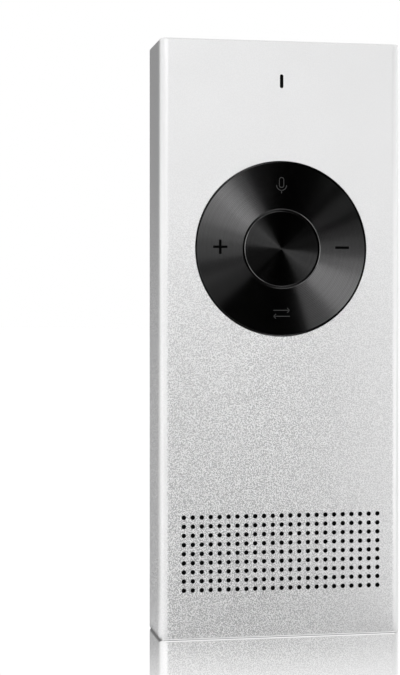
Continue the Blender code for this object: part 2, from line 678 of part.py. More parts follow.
def make_chassis(parts, cutters, plastic):
    outer = CHASSIS_HALF_WIDTH
    inner = CHASSIS_INNER_HALF_WIDTH
    wall_front = BOARD_FRONT - CHASSIS_FRONT_ABOVE_BOARD
    back_radius = CAVITY_CORNER_RADIUS - GAP
    section = rounded_polygon(
        [
            (-outer, wall_front), (-inner, wall_front), (-inner, FLOOR_FRONT),
            (inner, FLOOR_FRONT), (inner, wall_front), (outer, wall_front),
            (outer, FLOOR_BACK), (-outer, FLOOR_BACK),
        ],
        [0, 0, 0, 0, 0, 0, back_radius, back_radius],
    )
    chassis = extruded(
        "chassis", [section], "Z", CHASSIS_BOTTOM, CHASSIS_TOP, parts, plastic
    )
    reach = outer + OVERRUN
    speaker_room = box(
        "speaker_room", (-reach, reach), (wall_front - OVERRUN, SPEAKER_BACK + GAP),
        (CHASSIS_BOTTOM - OVERRUN, WALL_STEP), cutters,
    )
    window_room = box(
        "window_room", (-inner, inner), (WINDOW_FLANGE_FRONT - OVERRUN, FLOOR_BACK + OVERRUN),
        (FLOOR_TOP, CHASSIS_TOP + OVERRUN), cutters,
    )
    boolean(chassis, speaker_room, "DIFFERENCE")
    boolean(chassis, window_room, "DIFFERENCE")

    rest = SHIELD_FRONT
    root_plane = FLOOR_FRONT + ROOT
    board_bosses = extruded(
        "board_bosses",
        [
            circle(2 * BOSS_RADIUS, (offset, height))
            for offset in mirrored_pairs(BOARD_SCREW_OFFSET)
            for height in (LOW_SCREW_HEIGHT, HIGH_SCREW_HEIGHT)
        ],
        "Y", rest, root_plane, cutters,
    )
    cap_bosses = extruded(
        "cap_bosses",
        [
            rounded_rectangle(2 * CAP_BOSS_HALF_WIDTH, CAP_BOSS_LENGTH, 0,
                              (offset, CHASSIS_BOTTOM + CAP_BOSS_LENGTH / 2))
            for offset in mirrored_pairs(CAP_SCREW_OFFSET)
        ],
        "Y", SPEAKER_BACK + GAP, root_plane, cutters,
    )
    ledge_offset = (SOCKET_BOARD_WIDTH - LEDGE_WIDTH) / 2 - LEDGE_WIDTH / 2
    ledges = extruded(
        "socket_board_ledges",
        [
            rounded_rectangle(LEDGE_WIDTH, SOCKET_BOARD_HEIGHT, 0,
                              (offset, SOCKET_BOARD_BOTTOM + SOCKET_BOARD_HEIGHT / 2))
            for offset in mirrored_pairs(ledge_offset)
        ],
        "Y", SOCKET_BOARD_BACK + GAP, root_plane, cutters,
    )
    for added in (board_bosses, cap_bosses, ledges):
        boolean(chassis, added, "UNION")
    bore = SCREW_SHANK_DIAMETER + 2 * GAP
    board_bores = extruded(
        "board_screw_bores",
        [
            circle(bore, (offset, height))
            for offset in mirrored_pairs(BOARD_SCREW_OFFSET)
            for height in (LOW_SCREW_HEIGHT, HIGH_SCREW_HEIGHT)
        ],
        "Y", rest - OVERRUN, BOARD_FRONT + BOARD_SCREW_LENGTH, cutters,
    )
    cap_bores = extruded(
        "cap_screw_bores",
        [circle(bore, (offset, 0)) for offset in mirrored_pairs(CAP_SCREW_OFFSET)],
        "Z", CHASSIS_BOTTOM - OVERRUN,
        CAP_RECESS + SCREW_HEAD_HEIGHT + CAP_SCREW_LENGTH + GAP, cutters,
    )
    for bores in (board_bores, cap_bores):
        boolean(chassis, bores, "DIFFERENCE")


def make_control_ring(parts, cutters, look):
    """The ring rocks on the gimbal, so its origin is where the two rocking axes cross."""
    front = PIVOT_PLANE - KEY_FRONT
    back = PIVOT_PLANE - RING_BACK
    flange_front = PIVOT_PLANE - RING_FLANGE_FRONT
    flange_back = PIVOT_PLANE - RING_FLANGE_BACK
    profile = [
        (RING_BORE_RADIUS + RING_EDGE_CHAMFER, front),
        (RING_RADIUS - RING_EDGE_CHAMFER, front),
        (RING_RADIUS, front - RING_EDGE_CHAMFER),
        (RING_RADIUS, flange_front),
        (RING_RADIUS + RING_FLANGE, flange_front),
        (RING_RADIUS + RING_FLANGE, flange_back),
        (RING_RADIUS - RING_FLANGE_INNER_STEP, flange_back),
        (RING_RADIUS - RING_FLANGE_INNER_STEP, back),
        (RING_BORE_RADIUS, back),
        (RING_BORE_RADIUS, front - RING_EDGE_CHAMFER),
    ]
    ring = turned("control_ring", profile, (0, PIVOT_PLANE, KEY_HEIGHT), parts, look, ring=True)
    nubs = extruded(
        "ring_nubs",
        [
            circle(NUB_DIAMETER, (across * DOME_CIRCLE_RADIUS,
                                  KEY_HEIGHT + up * DOME_CIRCLE_RADIUS))
            for across, up in ((1, 0), (0, 1), (-1, 0), (0, -1))
        ],
        "Y", RING_BACK - ROOT, NUB_TIP, cutters,
    )
    ribs = extruded(
        "ring_ribs",
        [
            rounded_rectangle(POST_LENGTH, POST_WIDTH, 0, (offset, KEY_HEIGHT))
            for offset in mirrored_pairs(GIMBAL_MIDDLE_RADIUS)
        ],
        "Y", RING_BACK - ROOT, GIMBAL_FRONT - GAP, cutters,
    )
    boolean(ring, nubs, "UNION")
    boolean(ring, ribs, "UNION")
    for name, width, height, offsets in (
        ("sign_bars", SIGN_ARM_LENGTH, SIGN_STROKE, mirrored_pairs(SIGN_CIRCLE_RADIUS)),
        ("plus_upright", SIGN_STROKE, SIGN_ARM_LENGTH, (-SIGN_CIRCLE_RADIUS,)),
    ):
        strokes = [rounded_rectangle(width, height, 0, (offset, KEY_HEIGHT)) for offset in offsets]
        sign = extruded(
            name, strokes, "Y", KEY_FRONT - OVERRUN, KEY_FRONT + SIGN_DEPTH, cutters
        )
        boolean(ring, sign, "DIFFERENCE")


def make_ring_gimbal(parts, steel):
    half = GIMBAL_THICKNESS / 2
    turned(
        "ring_gimbal",
        [
            (GIMBAL_INNER_RADIUS, half),
            (GIMBAL_OUTER_RADIUS, half),
            (GIMBAL_OUTER_RADIUS, -half),
            (GIMBAL_INNER_RADIUS, -half),
        ],
        (0, PIVOT_PLANE, KEY_HEIGHT), parts, steel, ring=True,
    )


def make_centre_button(parts, look):
    shoulder = KEY_FRONT - BUTTON_FLANGE_FRONT
    flange_back = KEY_FRONT - BUTTON_FLANGE_BACK
    tip = KEY_FRONT - BUTTON_TIP
    turned(
        "centre_button",
        [
            (0, 0),
            (BUTTON_RADIUS - BUTTON_CHAMFER, 0),
            (BUTTON_RADIUS, -BUTTON_CHAMFER),
            (BUTTON_RADIUS, shoulder),
            (BUTTON_FLANGE_RADIUS, shoulder),
            (BUTTON_FLANGE_RADIUS, flange_back),
            (NUB_DIAMETER / 2, flange_back),
            (NUB_DIAMETER / 2, tip),
            (0, tip),
        ],
        (0, KEY_FRONT, KEY_HEIGHT), parts, look,
    )


def make_key_frame(parts, cutters, steel):
    frame = extruded(
        "key_frame",
        [
            rounded_rectangle(2 * BOARD_HALF_WIDTH,
                              2 * (KEY_FRAME_HOLE_RADIUS + KEY_FRAME_RIM_WIDTH),
                              KEY_FRAME_CORNER_RADIUS, (0, KEY_HEIGHT)),
            circle(2 * KEY_FRAME_HOLE_RADIUS, (0, KEY_HEIGHT), CIRCLE_STEPS),
        ],
        "Y", KEY_FRAME_FRONT, KEY_FRAME_BACK, parts, steel,
    )
    post_inner = GIMBAL_MIDDLE_RADIUS - POST_LENGTH / 2
    arm_outer = KEY_FRAME_HOLE_RADIUS + POST_LENGTH
    arm_middle = (post_inner + arm_outer) / 2
    posts = extruded(
        "gimbal_posts",
        [
            rounded_rectangle(POST_WIDTH, arm_outer - post_inner, 0, (0, KEY_HEIGHT + offset))
            for offset in mirrored_pairs(arm_middle)
        ],
        "Y", POST_TIP, KEY_FRAME_BACK, cutters,
    )
    boolean(frame, posts, "UNION")


def make_snap_domes(parts, steel):
    """Five snap domes on the board: one under the button and four under the ring."""
    radius = DOME_DIAMETER / 2
    profile = [(radius * out, DOME_HEIGHT * up) for out, up in DOME_CROWN_SHARES]
    profile += [(radius, 0), (0, 0)]
    for name, across, up in (
        ("dome_centre", 0, 0), ("dome_left", -1, 0), ("dome_right", 1, 0),
        ("dome_upper", 0, 1), ("dome_lower", 0, -1),
    ):
        place = (across * DOME_CIRCLE_RADIUS, DOME_BASE, KEY_HEIGHT + up * DOME_CIRCLE_RADIUS)
        turned(name, profile, place, parts, steel, steps=SMALL_CIRCLE_STEPS)


def make_main_board(parts, board_look):
    height = BOARD_TOP - BOARD_BOTTOM
    centre = (0, (BOARD_TOP + BOARD_BOTTOM) / 2)
    holes = [
        circle(SCREW_SHANK_DIAMETER + 2 * GAP, (offset, level))
        for offset in mirrored_pairs(BOARD_SCREW_OFFSET)
        for level in (LOW_SCREW_HEIGHT, HIGH_SCREW_HEIGHT)
    ]
    outline = rounded_rectangle(2 * BOARD_HALF_WIDTH, height, BOARD_CORNER_RADIUS, centre)
    extruded(
        "main_board", [outline, *holes], "Y", BOARD_FRONT, BOARD_BACK, parts, board_look
    )


def make_shield_and_chips(parts, steel, chip_look):
    """The shield is an open box over the chips; its open side faces the board."""
    centre = Vector((0, (SHIELD_FRONT + SHIELD_BACK) / 2, SHIELD_CENTRE_HEIGHT))
    shield = box(
        "shield_can",
        (-SHIELD_WIDTH / 2, SHIELD_WIDTH / 2),
        (SHIELD_FRONT, SHIELD_BACK),
        (centre.z - SHIELD_HEIGHT / 2, centre.z + SHIELD_HEIGHT / 2),
        parts, steel,
    )
    bm = bmesh.new()
    bm.from_mesh(shield.data)
    bmesh.ops.delete(bm, geom=[min(bm.faces, key=front_first)], context="FACES")
    bm.to_mesh(shield.data)
    bm.free()
    walls = shield.modifiers.new("walls", "SOLIDIFY")
    walls.thickness = SHIELD_WALL
    walls.offset = -1
    for name, across, up, width, height in CHIP_SHARES:
        x = across * SHIELD_WIDTH
        z = centre.z + up * SHIELD_HEIGHT
        half_width = width * SHIELD_WIDTH / 2
        half_height = height * SHIELD_HEIGHT / 2
        chip = box(
            name, (x - half_width, x + half_width),
            (SHIELD_FRONT, SHIELD_FRONT + CHIP_THICKNESS),
            (z - half_height, z + half_height), parts, chip_look,
        )
        rounded_edges(chip, CHIP_EDGE, 1)


def front_first(face):
    return face.calc_center_median().y


def make_microphone(parts, can_look, rubber, cloth):
    half_width = MIC_WIDTH / 2
    half_height = MIC_HEIGHT / 2
    module_back = BOARD_FRONT - GAP
    module_front = module_back - MIC_THICKNESS
    module = box(
        "mic_module", (-half_width, half_width), (module_front, module_back),
        (SLOT_HEIGHT - half_height, SLOT_HEIGHT + half_height), parts, can_look,
    )
    rounded_edges(module, CHIP_EDGE, 1)
    boot_back = module_front - GAP
    extruded(
        "mic_boot",
        [
            circle(MIC_BOOT_DIAMETER, (0, SLOT_HEIGHT)),
            rounded_rectangle(SLOT_WIDTH + GAP, SLOT_LENGTH, SLOT_WIDTH / 2, (0, SLOT_HEIGHT)),
        ],
        "Y", boot_back - MIC_BOOT_THICKNESS, boot_back, parts, rubber,
    )
    extruded(
        "mic_mesh", [circle(MIC_BOOT_DIAMETER, (0, SLOT_HEIGHT))],
        "Y", MESH_FRONT, MESH_BACK, parts, cloth,
    )


def make_battery(parts, cell_look, foam, red_look, black_look, plug_look):
    height = BATTERY_TOP - BATTERY_BOTTOM
    centre = (0, (BATTERY_TOP + BATTERY_BOTTOM) / 2)
    cell = extruded(
        "battery_cell",
        [rounded_rectangle(BATTERY_WIDTH, height, BATTERY_CORNER_RADIUS, centre)],
        "Y", BATTERY_FRONT, BATTERY_BACK, parts, cell_look,
    )
    rounded_edges(cell, BATTERY_EDGE)
    extruded(
        "battery_pad",
        [rounded_rectangle(BATTERY_WIDTH - 2 * BATTERY_PAD_MARGIN,
                           height - 2 * BATTERY_PAD_MARGIN, 0, centre)],
        "Y", PAD_FRONT, PAD_BACK, parts, foam,
    )
    plug_bottom = BATTERY_TOP + LEAD_SPACING
    box(
        "battery_plug", (-PLUG_WIDTH / 2, PLUG_WIDTH / 2),
        (SHIELD_FRONT, SHIELD_FRONT + PLUG_THICKNESS),
        (plug_bottom, plug_bottom + PLUG_HEIGHT), parts, plug_look,
    )
    start = Vector((BATTERY_FRONT + BATTERY_EDGE + LEAD_DIAMETER, BATTERY_TOP + GAP))
    end = Vector((SHIELD_FRONT + PLUG_THICKNESS / 2, plug_bottom - GAP))
    for name, side, look in (("lead_positive", -1, red_look), ("lead_negative", 1, black_look)):
        curve = bpy.data.curves.new(name, "CURVE")
        curve.dimensions = "3D"
        curve.bevel_depth = LEAD_DIAMETER / 2
        curve.bevel_resolution = 2
        curve.use_fill_caps = True
        spline = curve.splines.new("POLY")
        spline.points.add(FLEX_STEPS)
        for step in range(FLEX_STEPS + 1):
            share = step / FLEX_STEPS
            depth = start.x + (end.x - start.x) * smooth(share)
            level = start.y + (end.y - start.y) * share
            spline.points[step].co = (side * LEAD_SPACING / 2, depth, level, 1)
        lead = bpy.data.objects.new(name, curve)
        parts.objects.link(lead)
        bpy.context.view_layer.update()
        add_mesh_object(name, mesh_of(lead, name), parts, look)


def smooth(share):
    """Goes from 0 to 1 with level ends."""
    return share * share * (3 - 2 * share)


def make_speaker(parts, frame_look, cone_look, magnet_look, foam, cloth):
    outer_half = CHASSIS_HALF_WIDTH - GAP / 2
    width = 2 * outer_half
    centre = (0, GRILLE_CENTRE_HEIGHT)
    frame = box(
        "speaker_frame", (-outer_half, outer_half), (SPEAKER_FRONT, SPEAKER_BACK),
        (SPEAKER_BOTTOM, SPEAKER_TOP), parts, frame_look,
    )
    bm = bmesh.new()
    bm.from_mesh(frame.data)
    bmesh.ops.delete(bm, geom=[min(bm.faces, key=front_first)], context="FACES")
    bm.to_mesh(frame.data)
    bm.free()
    walls = frame.modifiers.new("walls", "SOLIDIFY")
    walls.thickness = SPEAKER_WALL
    walls.offset = -1
    inner_width = width - 2 * SPEAKER_WALL
    inner_height = SPEAKER_HEIGHT - 2 * SPEAKER_WALL
    extruded(
        "speaker_gasket",
        [
            rounded_rectangle(width, SPEAKER_HEIGHT, SPEAKER_CORNER_RADIUS, centre),
            rounded_rectangle(inner_width, inner_height,
                              SPEAKER_CORNER_RADIUS - SPEAKER_WALL, centre),
        ],
        "Y", GASKET_FRONT, GASKET_BACK, parts, foam,
    )
    room = SPEAKER_BACK - SPEAKER_WALL - SPEAKER_FRONT
    magnet_span = [SPEAKER_FRONT + share * room for share in MAGNET_DEPTH_SHARES]
    cone_span = [SPEAKER_FRONT + share * room for share in CONE_DEPTH_SHARES]
    magnet = box(
        "speaker_magnet", (-MAGNET_WIDTH / 2, MAGNET_WIDTH / 2), magnet_span,
        (GRILLE_CENTRE_HEIGHT - MAGNET_HEIGHT / 2, GRILLE_CENTRE_HEIGHT + MAGNET_HEIGHT / 2),
        parts, magnet_look,
    )
    rounded_edges(magnet, CHIP_EDGE, 1)
    cone = extruded(
        "speaker_cone",
        [rounded_rectangle(inner_width - 2 * CONE_SURROUND_GAP,
                           inner_height - 2 * CONE_SURROUND_GAP,
                           SPEAKER_CORNER_RADIUS, centre)],
        "Y", *cone_span, parts, cone_look,
    )
    rounded_edges(cone, CHIP_EDGE, 1)
    extruded(
        "grille_mesh",
        [rounded_rectangle(width, SPEAKER_HEIGHT, SPEAKER_CORNER_RADIUS, centre)],
        "Y", MESH_FRONT, MESH_BACK, parts, cloth,
    )


def make_charging_socket(parts, cutters, steel, tongue_look, board_look, flex_look):
    centre = (0, SOCKET_CENTRE)
    inner_width = SOCKET_WIDTH - 2 * SOCKET_WALL
    inner_height = SOCKET_HEIGHT - 2 * SOCKET_WALL
    extruded(
        "socket_shell",
        [
            rounded_rectangle(SOCKET_WIDTH, SOCKET_HEIGHT, SOCKET_HEIGHT / 2, centre),
            rounded_rectangle(inner_width, inner_height, inner_height / 2, centre),
        ],
        "Z", SOCKET_BOTTOM, SOCKET_TOP, parts, steel,
    )
    tongue = box(
        "socket_tongue", (-TONGUE_WIDTH / 2, TONGUE_WIDTH / 2),
        (SOCKET_CENTRE - TONGUE_THICKNESS / 2, SOCKET_CENTRE + TONGUE_THICKNESS / 2),
        (SOCKET_BOTTOM + TONGUE_RECESS, SOCKET_TOP - TONGUE_BASE / 2), parts, tongue_look,
    )
    base = extruded(
        "tongue_base",
        [rounded_rectangle(inner_width - 2 * GAP, inner_height - 2 * GAP,
                           inner_height / 2 - GAP, centre)],
        "Z", SOCKET_TOP - TONGUE_BASE, SOCKET_TOP, cutters,
    )
    boolean(tongue, base, "UNION")
    extruded(
        "socket_board",
        [rounded_rectangle(SOCKET_BOARD_WIDTH, SOCKET_BOARD_HEIGHT, BOARD_CORNER_RADIUS,
                           (0, SOCKET_BOARD_BOTTOM + SOCKET_BOARD_HEIGHT / 2))],
        "Y", SOCKET_BOARD_FRONT, SOCKET_BOARD_BACK, parts, board_look,
    )
    start = Vector((SHIELD_FRONT, BOARD_BOTTOM))
    end = Vector((SOCKET_BOARD_FRONT - GAP - FLEX_THICKNESS, SOCKET_BOARD_TOP))
    near_side = [(start.x, start.y + FLEX_LANDING)]
    for step in range(FLEX_STEPS + 1):
        share = step / FLEX_STEPS
        depth = start.x + (end.x - start.x) * smooth(share)
        near_side.append((depth, start.y + (end.y - start.y) * share))
    near_side.append((end.x, end.y - FLEX_LANDING))
    far_side = [(depth + FLEX_THICKNESS, level) for depth, level in reversed(near_side)]
    extruded(
        "flex_cable", [near_side + far_side],
        "X", -FLEX_WIDTH / 2, FLEX_WIDTH / 2, parts, flex_look,
    )


def build():
    clear_scene()
    parts = new_collection("handheld_translator")
    cutters = new_collection("cutters")
    cutters.hide_render = True

    aluminium = finish("satin_aluminium", (0.80, 0.80, 0.81), 0.42, 1.0)
    black_metal = finish("black_spun_metal", (0.025, 0.025, 0.028), 0.28, 1.0)
    window_plastic = finish("window_plastic", (0.11, 0.105, 0.14), 0.55, 0.0)
    dark_plastic = finish("dark_plastic", (0.03, 0.03, 0.033), 0.5, 0.0)
    chassis_plastic = finish("chassis_plastic", (0.06, 0.06, 0.065), 0.6, 0.0)
    steel = finish("bright_steel", (0.62, 0.62, 0.63), 0.3, 1.0)
    green_board = finish("board_laminate", (0.02, 0.12, 0.05), 0.5, 0.0)
    chip_black = finish("chip_black", (0.02, 0.02, 0.02), 0.6, 0.0)
    silver_foil = finish("cell_foil", (0.55, 0.55, 0.57), 0.35, 1.0)
    copper_film = finish("copper_film", (0.72, 0.38, 0.20), 0.4, 1.0)
    rubber = finish("black_rubber", (0.02, 0.02, 0.02), 0.85, 0.0)
    foam = finish("dark_foam", (0.05, 0.05, 0.05), 0.95, 0.0)
    cloth = finish("black_mesh_cloth", (0.015, 0.015, 0.015), 0.9, 0.0)
    magnet_grey = finish("magnet_grey", (0.25, 0.25, 0.26), 0.4, 1.0)
    cone_film = finish("cone_film", (0.08, 0.08, 0.09), 0.45, 0.0)
    white_plastic = finish("white_plastic", (0.75, 0.74, 0.70), 0.5, 0.0)
    lead_red = finish("lead_red", (0.45, 0.03, 0.03), 0.5, 0.0)
    amber_film = finish("amber_film", (0.55, 0.26, 0.05), 0.4, 0.0)

    make_housing_sleeve(parts, cutters, aluminium)
    make_antenna_window(parts, cutters, window_plastic, copper_film, chassis_plastic)
    make_end_caps(parts, cutters, dark_plastic)
    make_screws(parts, cutters, steel)
    make_chassis(parts, cutters, chassis_plastic)
    make_control_ring(parts, cutters, black_metal)
    make_ring_gimbal(parts, steel)
    make_centre_button(parts, black_metal)
    make_key_frame(parts, cutters, steel)
    make_snap_domes(parts, steel)
    make_main_board(parts, green_board)
    make_shield_and_chips(parts, steel, chip_black)
    make_microphone(parts, magnet_grey, rubber, cloth)
    make_battery(parts, silver_foil, foam, lead_red, dark_plastic, white_plastic)
    make_speaker(parts, dark_plastic, cone_film, magnet_grey, foam, cloth)
    make_charging_socket(parts, cutters, steel, chip_black, green_board, amber_film)


build()
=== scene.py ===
# %% [markdown]
# # Handheld translator: its looks
#
# The object is a slim aluminium sleeve that stands on its lower end. A black turned
# ring with a button in its middle sits in the front, a field of small round holes
# covers the speaker, and a dark plastic window in the back lets the radio through.
#
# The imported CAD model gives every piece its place. This lesson loads it as a frame
# that stays where it is, builds finer versions of the pieces that show, gives all of
# them a finish made of nodes, and sets up a small white studio around them.

# %% Load the frame
import math

import bmesh
import bpy
from mathutils import Matrix, Vector


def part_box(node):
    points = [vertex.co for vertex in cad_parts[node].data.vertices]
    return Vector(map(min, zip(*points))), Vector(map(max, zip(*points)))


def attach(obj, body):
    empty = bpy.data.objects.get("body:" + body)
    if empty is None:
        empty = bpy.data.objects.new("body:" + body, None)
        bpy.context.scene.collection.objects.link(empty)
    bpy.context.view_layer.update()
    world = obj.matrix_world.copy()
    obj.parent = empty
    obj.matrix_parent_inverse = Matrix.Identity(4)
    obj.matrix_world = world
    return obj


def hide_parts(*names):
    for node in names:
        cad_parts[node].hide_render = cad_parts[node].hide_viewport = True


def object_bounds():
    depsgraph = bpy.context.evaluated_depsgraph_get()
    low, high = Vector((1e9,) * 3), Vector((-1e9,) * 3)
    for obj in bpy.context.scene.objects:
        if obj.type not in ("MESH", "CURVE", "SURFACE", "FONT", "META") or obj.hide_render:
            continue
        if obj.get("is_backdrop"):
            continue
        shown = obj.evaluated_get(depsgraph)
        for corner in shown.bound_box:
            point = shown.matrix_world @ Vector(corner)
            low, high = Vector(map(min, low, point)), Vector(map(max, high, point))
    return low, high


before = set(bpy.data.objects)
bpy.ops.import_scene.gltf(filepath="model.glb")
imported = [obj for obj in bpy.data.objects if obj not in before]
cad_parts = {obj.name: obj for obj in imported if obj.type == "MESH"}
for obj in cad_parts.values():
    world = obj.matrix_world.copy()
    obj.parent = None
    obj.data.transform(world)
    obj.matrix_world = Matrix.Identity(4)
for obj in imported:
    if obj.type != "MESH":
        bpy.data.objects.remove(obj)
cad_low, cad_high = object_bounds()
print("CAD box from", tuple(cad_low), "to", tuple(cad_high))

# %% [markdown]
# ## Sizes
#
# Lengths are in metres. What a node's box gives is read from the frame, and the rest
# repeats the sizes that the construction uses, so that each fine piece lies exactly
# where its solid does. The front faces -Y, and +Z runs up the length.

# %% Sizes read from the frame and repeated from the construction
MM = 0.001
FRONT, BACK = cad_low.y, cad_high.y
HALF_WIDTH = cad_high.x
HEIGHT = cad_high.z
SLEEVE_WALL = 1.2 * MM
INNER_FRONT = FRONT + SLEEVE_WALL
INNER_BACK = BACK - SLEEVE_WALL
CAVITY_HALF_WIDTH = 20.0 * MM
KEY_RECESS = 0.05 * MM
KEY_FRONT = FRONT + KEY_RECESS
KEY_HEIGHT = (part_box("ring_gimbal")[0].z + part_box("ring_gimbal")[1].z) / 2
LONG_EDGE_RADIUS = 1.65 * MM
RING_OPENING_RADIUS = 16.2 * MM
RING_RADIUS = 15.95 * MM
RING_BORE_RADIUS = 7.29 * MM
BUTTON_RADIUS = 6.99 * MM
print(f"keys at a height of {KEY_HEIGHT / MM:.1f} mm, front plane at {FRONT / MM:.2f} mm")

# %% [markdown]
# ## Small tools for shapes
#
# Every fine piece starts from one of two shapes: a block whose edges along one axis
# are rounded, or a profile that is turned about an axis, as on a lathe. Openings are
# cut with the Boolean modifier, because it keeps flat faces flat. A last helper marks
# a finished shape's sharp edges and lets it ride on its body.

# %% A block with rounded edges along one axis
Y_AXIS, Z_AXIS = 1, 2
PARALLEL = 0.99


def bevelled(bm, edges, width, segments):
    """Rounds the given edges."""
    bmesh.ops.bevel(
        bm, geom=edges, offset=width, segments=segments, affect="EDGES", profile=0.5, material=-1
    )


def edges_along(bm, axis):
    """The edges that run along one axis."""
    found = []
    for edge in bm.edges:
        run = edge.verts[1].co - edge.verts[0].co
        if abs(run[axis]) > PARALLEL * run.length:
            found.append(edge)
    return found


def rounded_block(low, high, axis, radius, segments=8):
    """A block between two corners whose four edges along one axis are rounded."""
    low, high = Vector(low), Vector(high)
    bm = bmesh.new()
    bmesh.ops.create_cube(bm, size=1)
    bmesh.ops.scale(bm, verts=bm.verts, vec=high - low)
    bmesh.ops.translate(bm, verts=bm.verts, vec=(low + high) / 2)
    if radius:
        bevelled(bm, edges_along(bm, axis), radius, segments)
    return bm


def soften(bm, width, chosen=None, segments=2, least_angle=40):
    """Rounds the sharp edges, or only those that the test chosen picks."""
    sharp = math.radians(least_angle)
    edges = [
        edge for edge in bm.edges
        if edge.is_manifold and edge.calc_face_angle() > sharp and (not chosen or chosen(edge))
    ]
    bevelled(bm, edges, width, segments)
    return bm


# %% A profile turned about an axis
WELD = 0.001 * MM


def turned(profile, place, axis=(0, 1, 0), steps=96, closed=False):
    """Turns (radius, distance along the axis) points about an axis through place."""
    along = Vector(axis)
    out = Vector((1, 0, 0)) if abs(along.x) < 0.5 else Vector((0, 0, 1))
    bm = bmesh.new()
    verts = [bm.verts.new(out * radius + along * distance) for radius, distance in profile]
    edges = [bm.edges.new(pair) for pair in zip(verts, verts[1:])]
    if closed:
        edges.append(bm.edges.new((verts[-1], verts[0])))
    bmesh.ops.spin(
        bm, geom=verts + edges, cent=(0, 0, 0), axis=along,
        angle=math.tau, steps=steps, use_merge=True,
    )
    bmesh.ops.remove_doubles(bm, verts=bm.verts, dist=WELD)
    bmesh.ops.recalc_face_normals(bm, faces=bm.faces)
    bmesh.ops.translate(bm, verts=bm.verts, vec=place)
    return bm


# %% Cutting, joining and finishing shapes
def open_edges(shape):
    """How many edges don't join exactly two faces."""
    return sum(not edge.is_manifold for edge in shape.edges)


def loose_object(bm, name="shape"):
    """Puts a bmesh in an object of its own."""
    mesh = bpy.data.meshes.new(name)
    bm.to_mesh(mesh)
    bm.free()
    obj = bpy.data.objects.new(name, mesh)
    bpy.context.scene.collection.objects.link(obj)
    return obj


def cut(bm, *tools, operation="DIFFERENCE"):
    """What is left of a shape after the exact Boolean with each tool in turn."""
    body = loose_object(bm)
    cutters = [loose_object(tool) for tool in tools]
    for cutter in cutters:
        modifier = body.modifiers.new("cut", "BOOLEAN")
        modifier.operation = operation
        modifier.solver = "EXACT"
        modifier.object = cutter
    graph = bpy.context.evaluated_depsgraph_get()
    mesh = bpy.data.meshes.new_from_object(body.evaluated_get(graph))
    result = bmesh.new()
    result.from_mesh(mesh)
    for obj in [body, *cutters]:
        bpy.data.objects.remove(obj)
    bpy.data.meshes.remove(mesh)
    bmesh.ops.remove_doubles(result, verts=result.verts, dist=WELD / 2)
    bmesh.ops.dissolve_degenerate(result, edges=result.edges, dist=WELD / 2)
    return result


def joined(*shapes):
    """Several shapes in one bmesh."""
    whole = bmesh.new()
    for shape in shapes:
        mesh = bpy.data.meshes.new("part")
        shape.to_mesh(mesh)
        shape.free()
        whole.from_mesh(mesh)
        bpy.data.meshes.remove(mesh)
    return whole


def finished(name, bm, body, finishes, replaces=(), sharp=30):
    """Marks a shape's sharp edges and hangs it on its body as a piece."""
    bmesh.ops.recalc_face_normals(bm, faces=bm.faces)
    gaps = open_edges(bm)
    obj = loose_object(bm, name)
    obj.data.name = name
    for finish in finishes:
        obj.data.materials.append(finish)
    obj.data.shade_smooth()
    obj.data.set_sharp_from_angle(angle=math.radians(sharp))
    weighted = obj.modifiers.new("flat faces stay flat", "WEIGHTED_NORMAL")
    weighted.keep_sharp = True
    weighted.weight = 100
    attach(obj, body)
    if replaces:
        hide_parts(*replaces)
    print(f"{name}: {len(obj.data.polygons)} faces on body {body}, {gaps} open edges")
    return obj


# %% [markdown]
# ## Shader maths as plain sums
#
# A node material is a small program. Wrapping a node's output in a class that knows
# `+`, `-` and `*` lets a formula be written as one, and each sign adds its Math node.
# One method adds every other kind of node: first its settings, then its inputs.

# %% Node outputs that can be added and multiplied
class Wire:
    """One output of a node. Sums and products of wires add Math nodes."""

    def __init__(self, shading, socket):
        self.shading = shading
        self.socket = socket

    def maths(self, operation, first, second=0.0):
        return self.shading.add("Math", {"operation": operation}, {0: first, 1: second})

    def __add__(self, other):
        return self.maths("ADD", self, other)

    def __sub__(self, other):
        return self.maths("SUBTRACT", self, other)

    def __mul__(self, other):
        return self.maths("MULTIPLY", self, other)

    def __rsub__(self, other):
        return self.maths("SUBTRACT", other, self)

    __radd__ = __add__
    __rmul__ = __mul__

    def at_most(self, other):
        return self.maths("MINIMUM", self, other)

    def sine(self):
        return self.maths("SINE", self)


WHITE = (1, 1, 1, 1)


def grey(shade):
    """A colour without hue."""
    return (shade, shade, shade, 1)


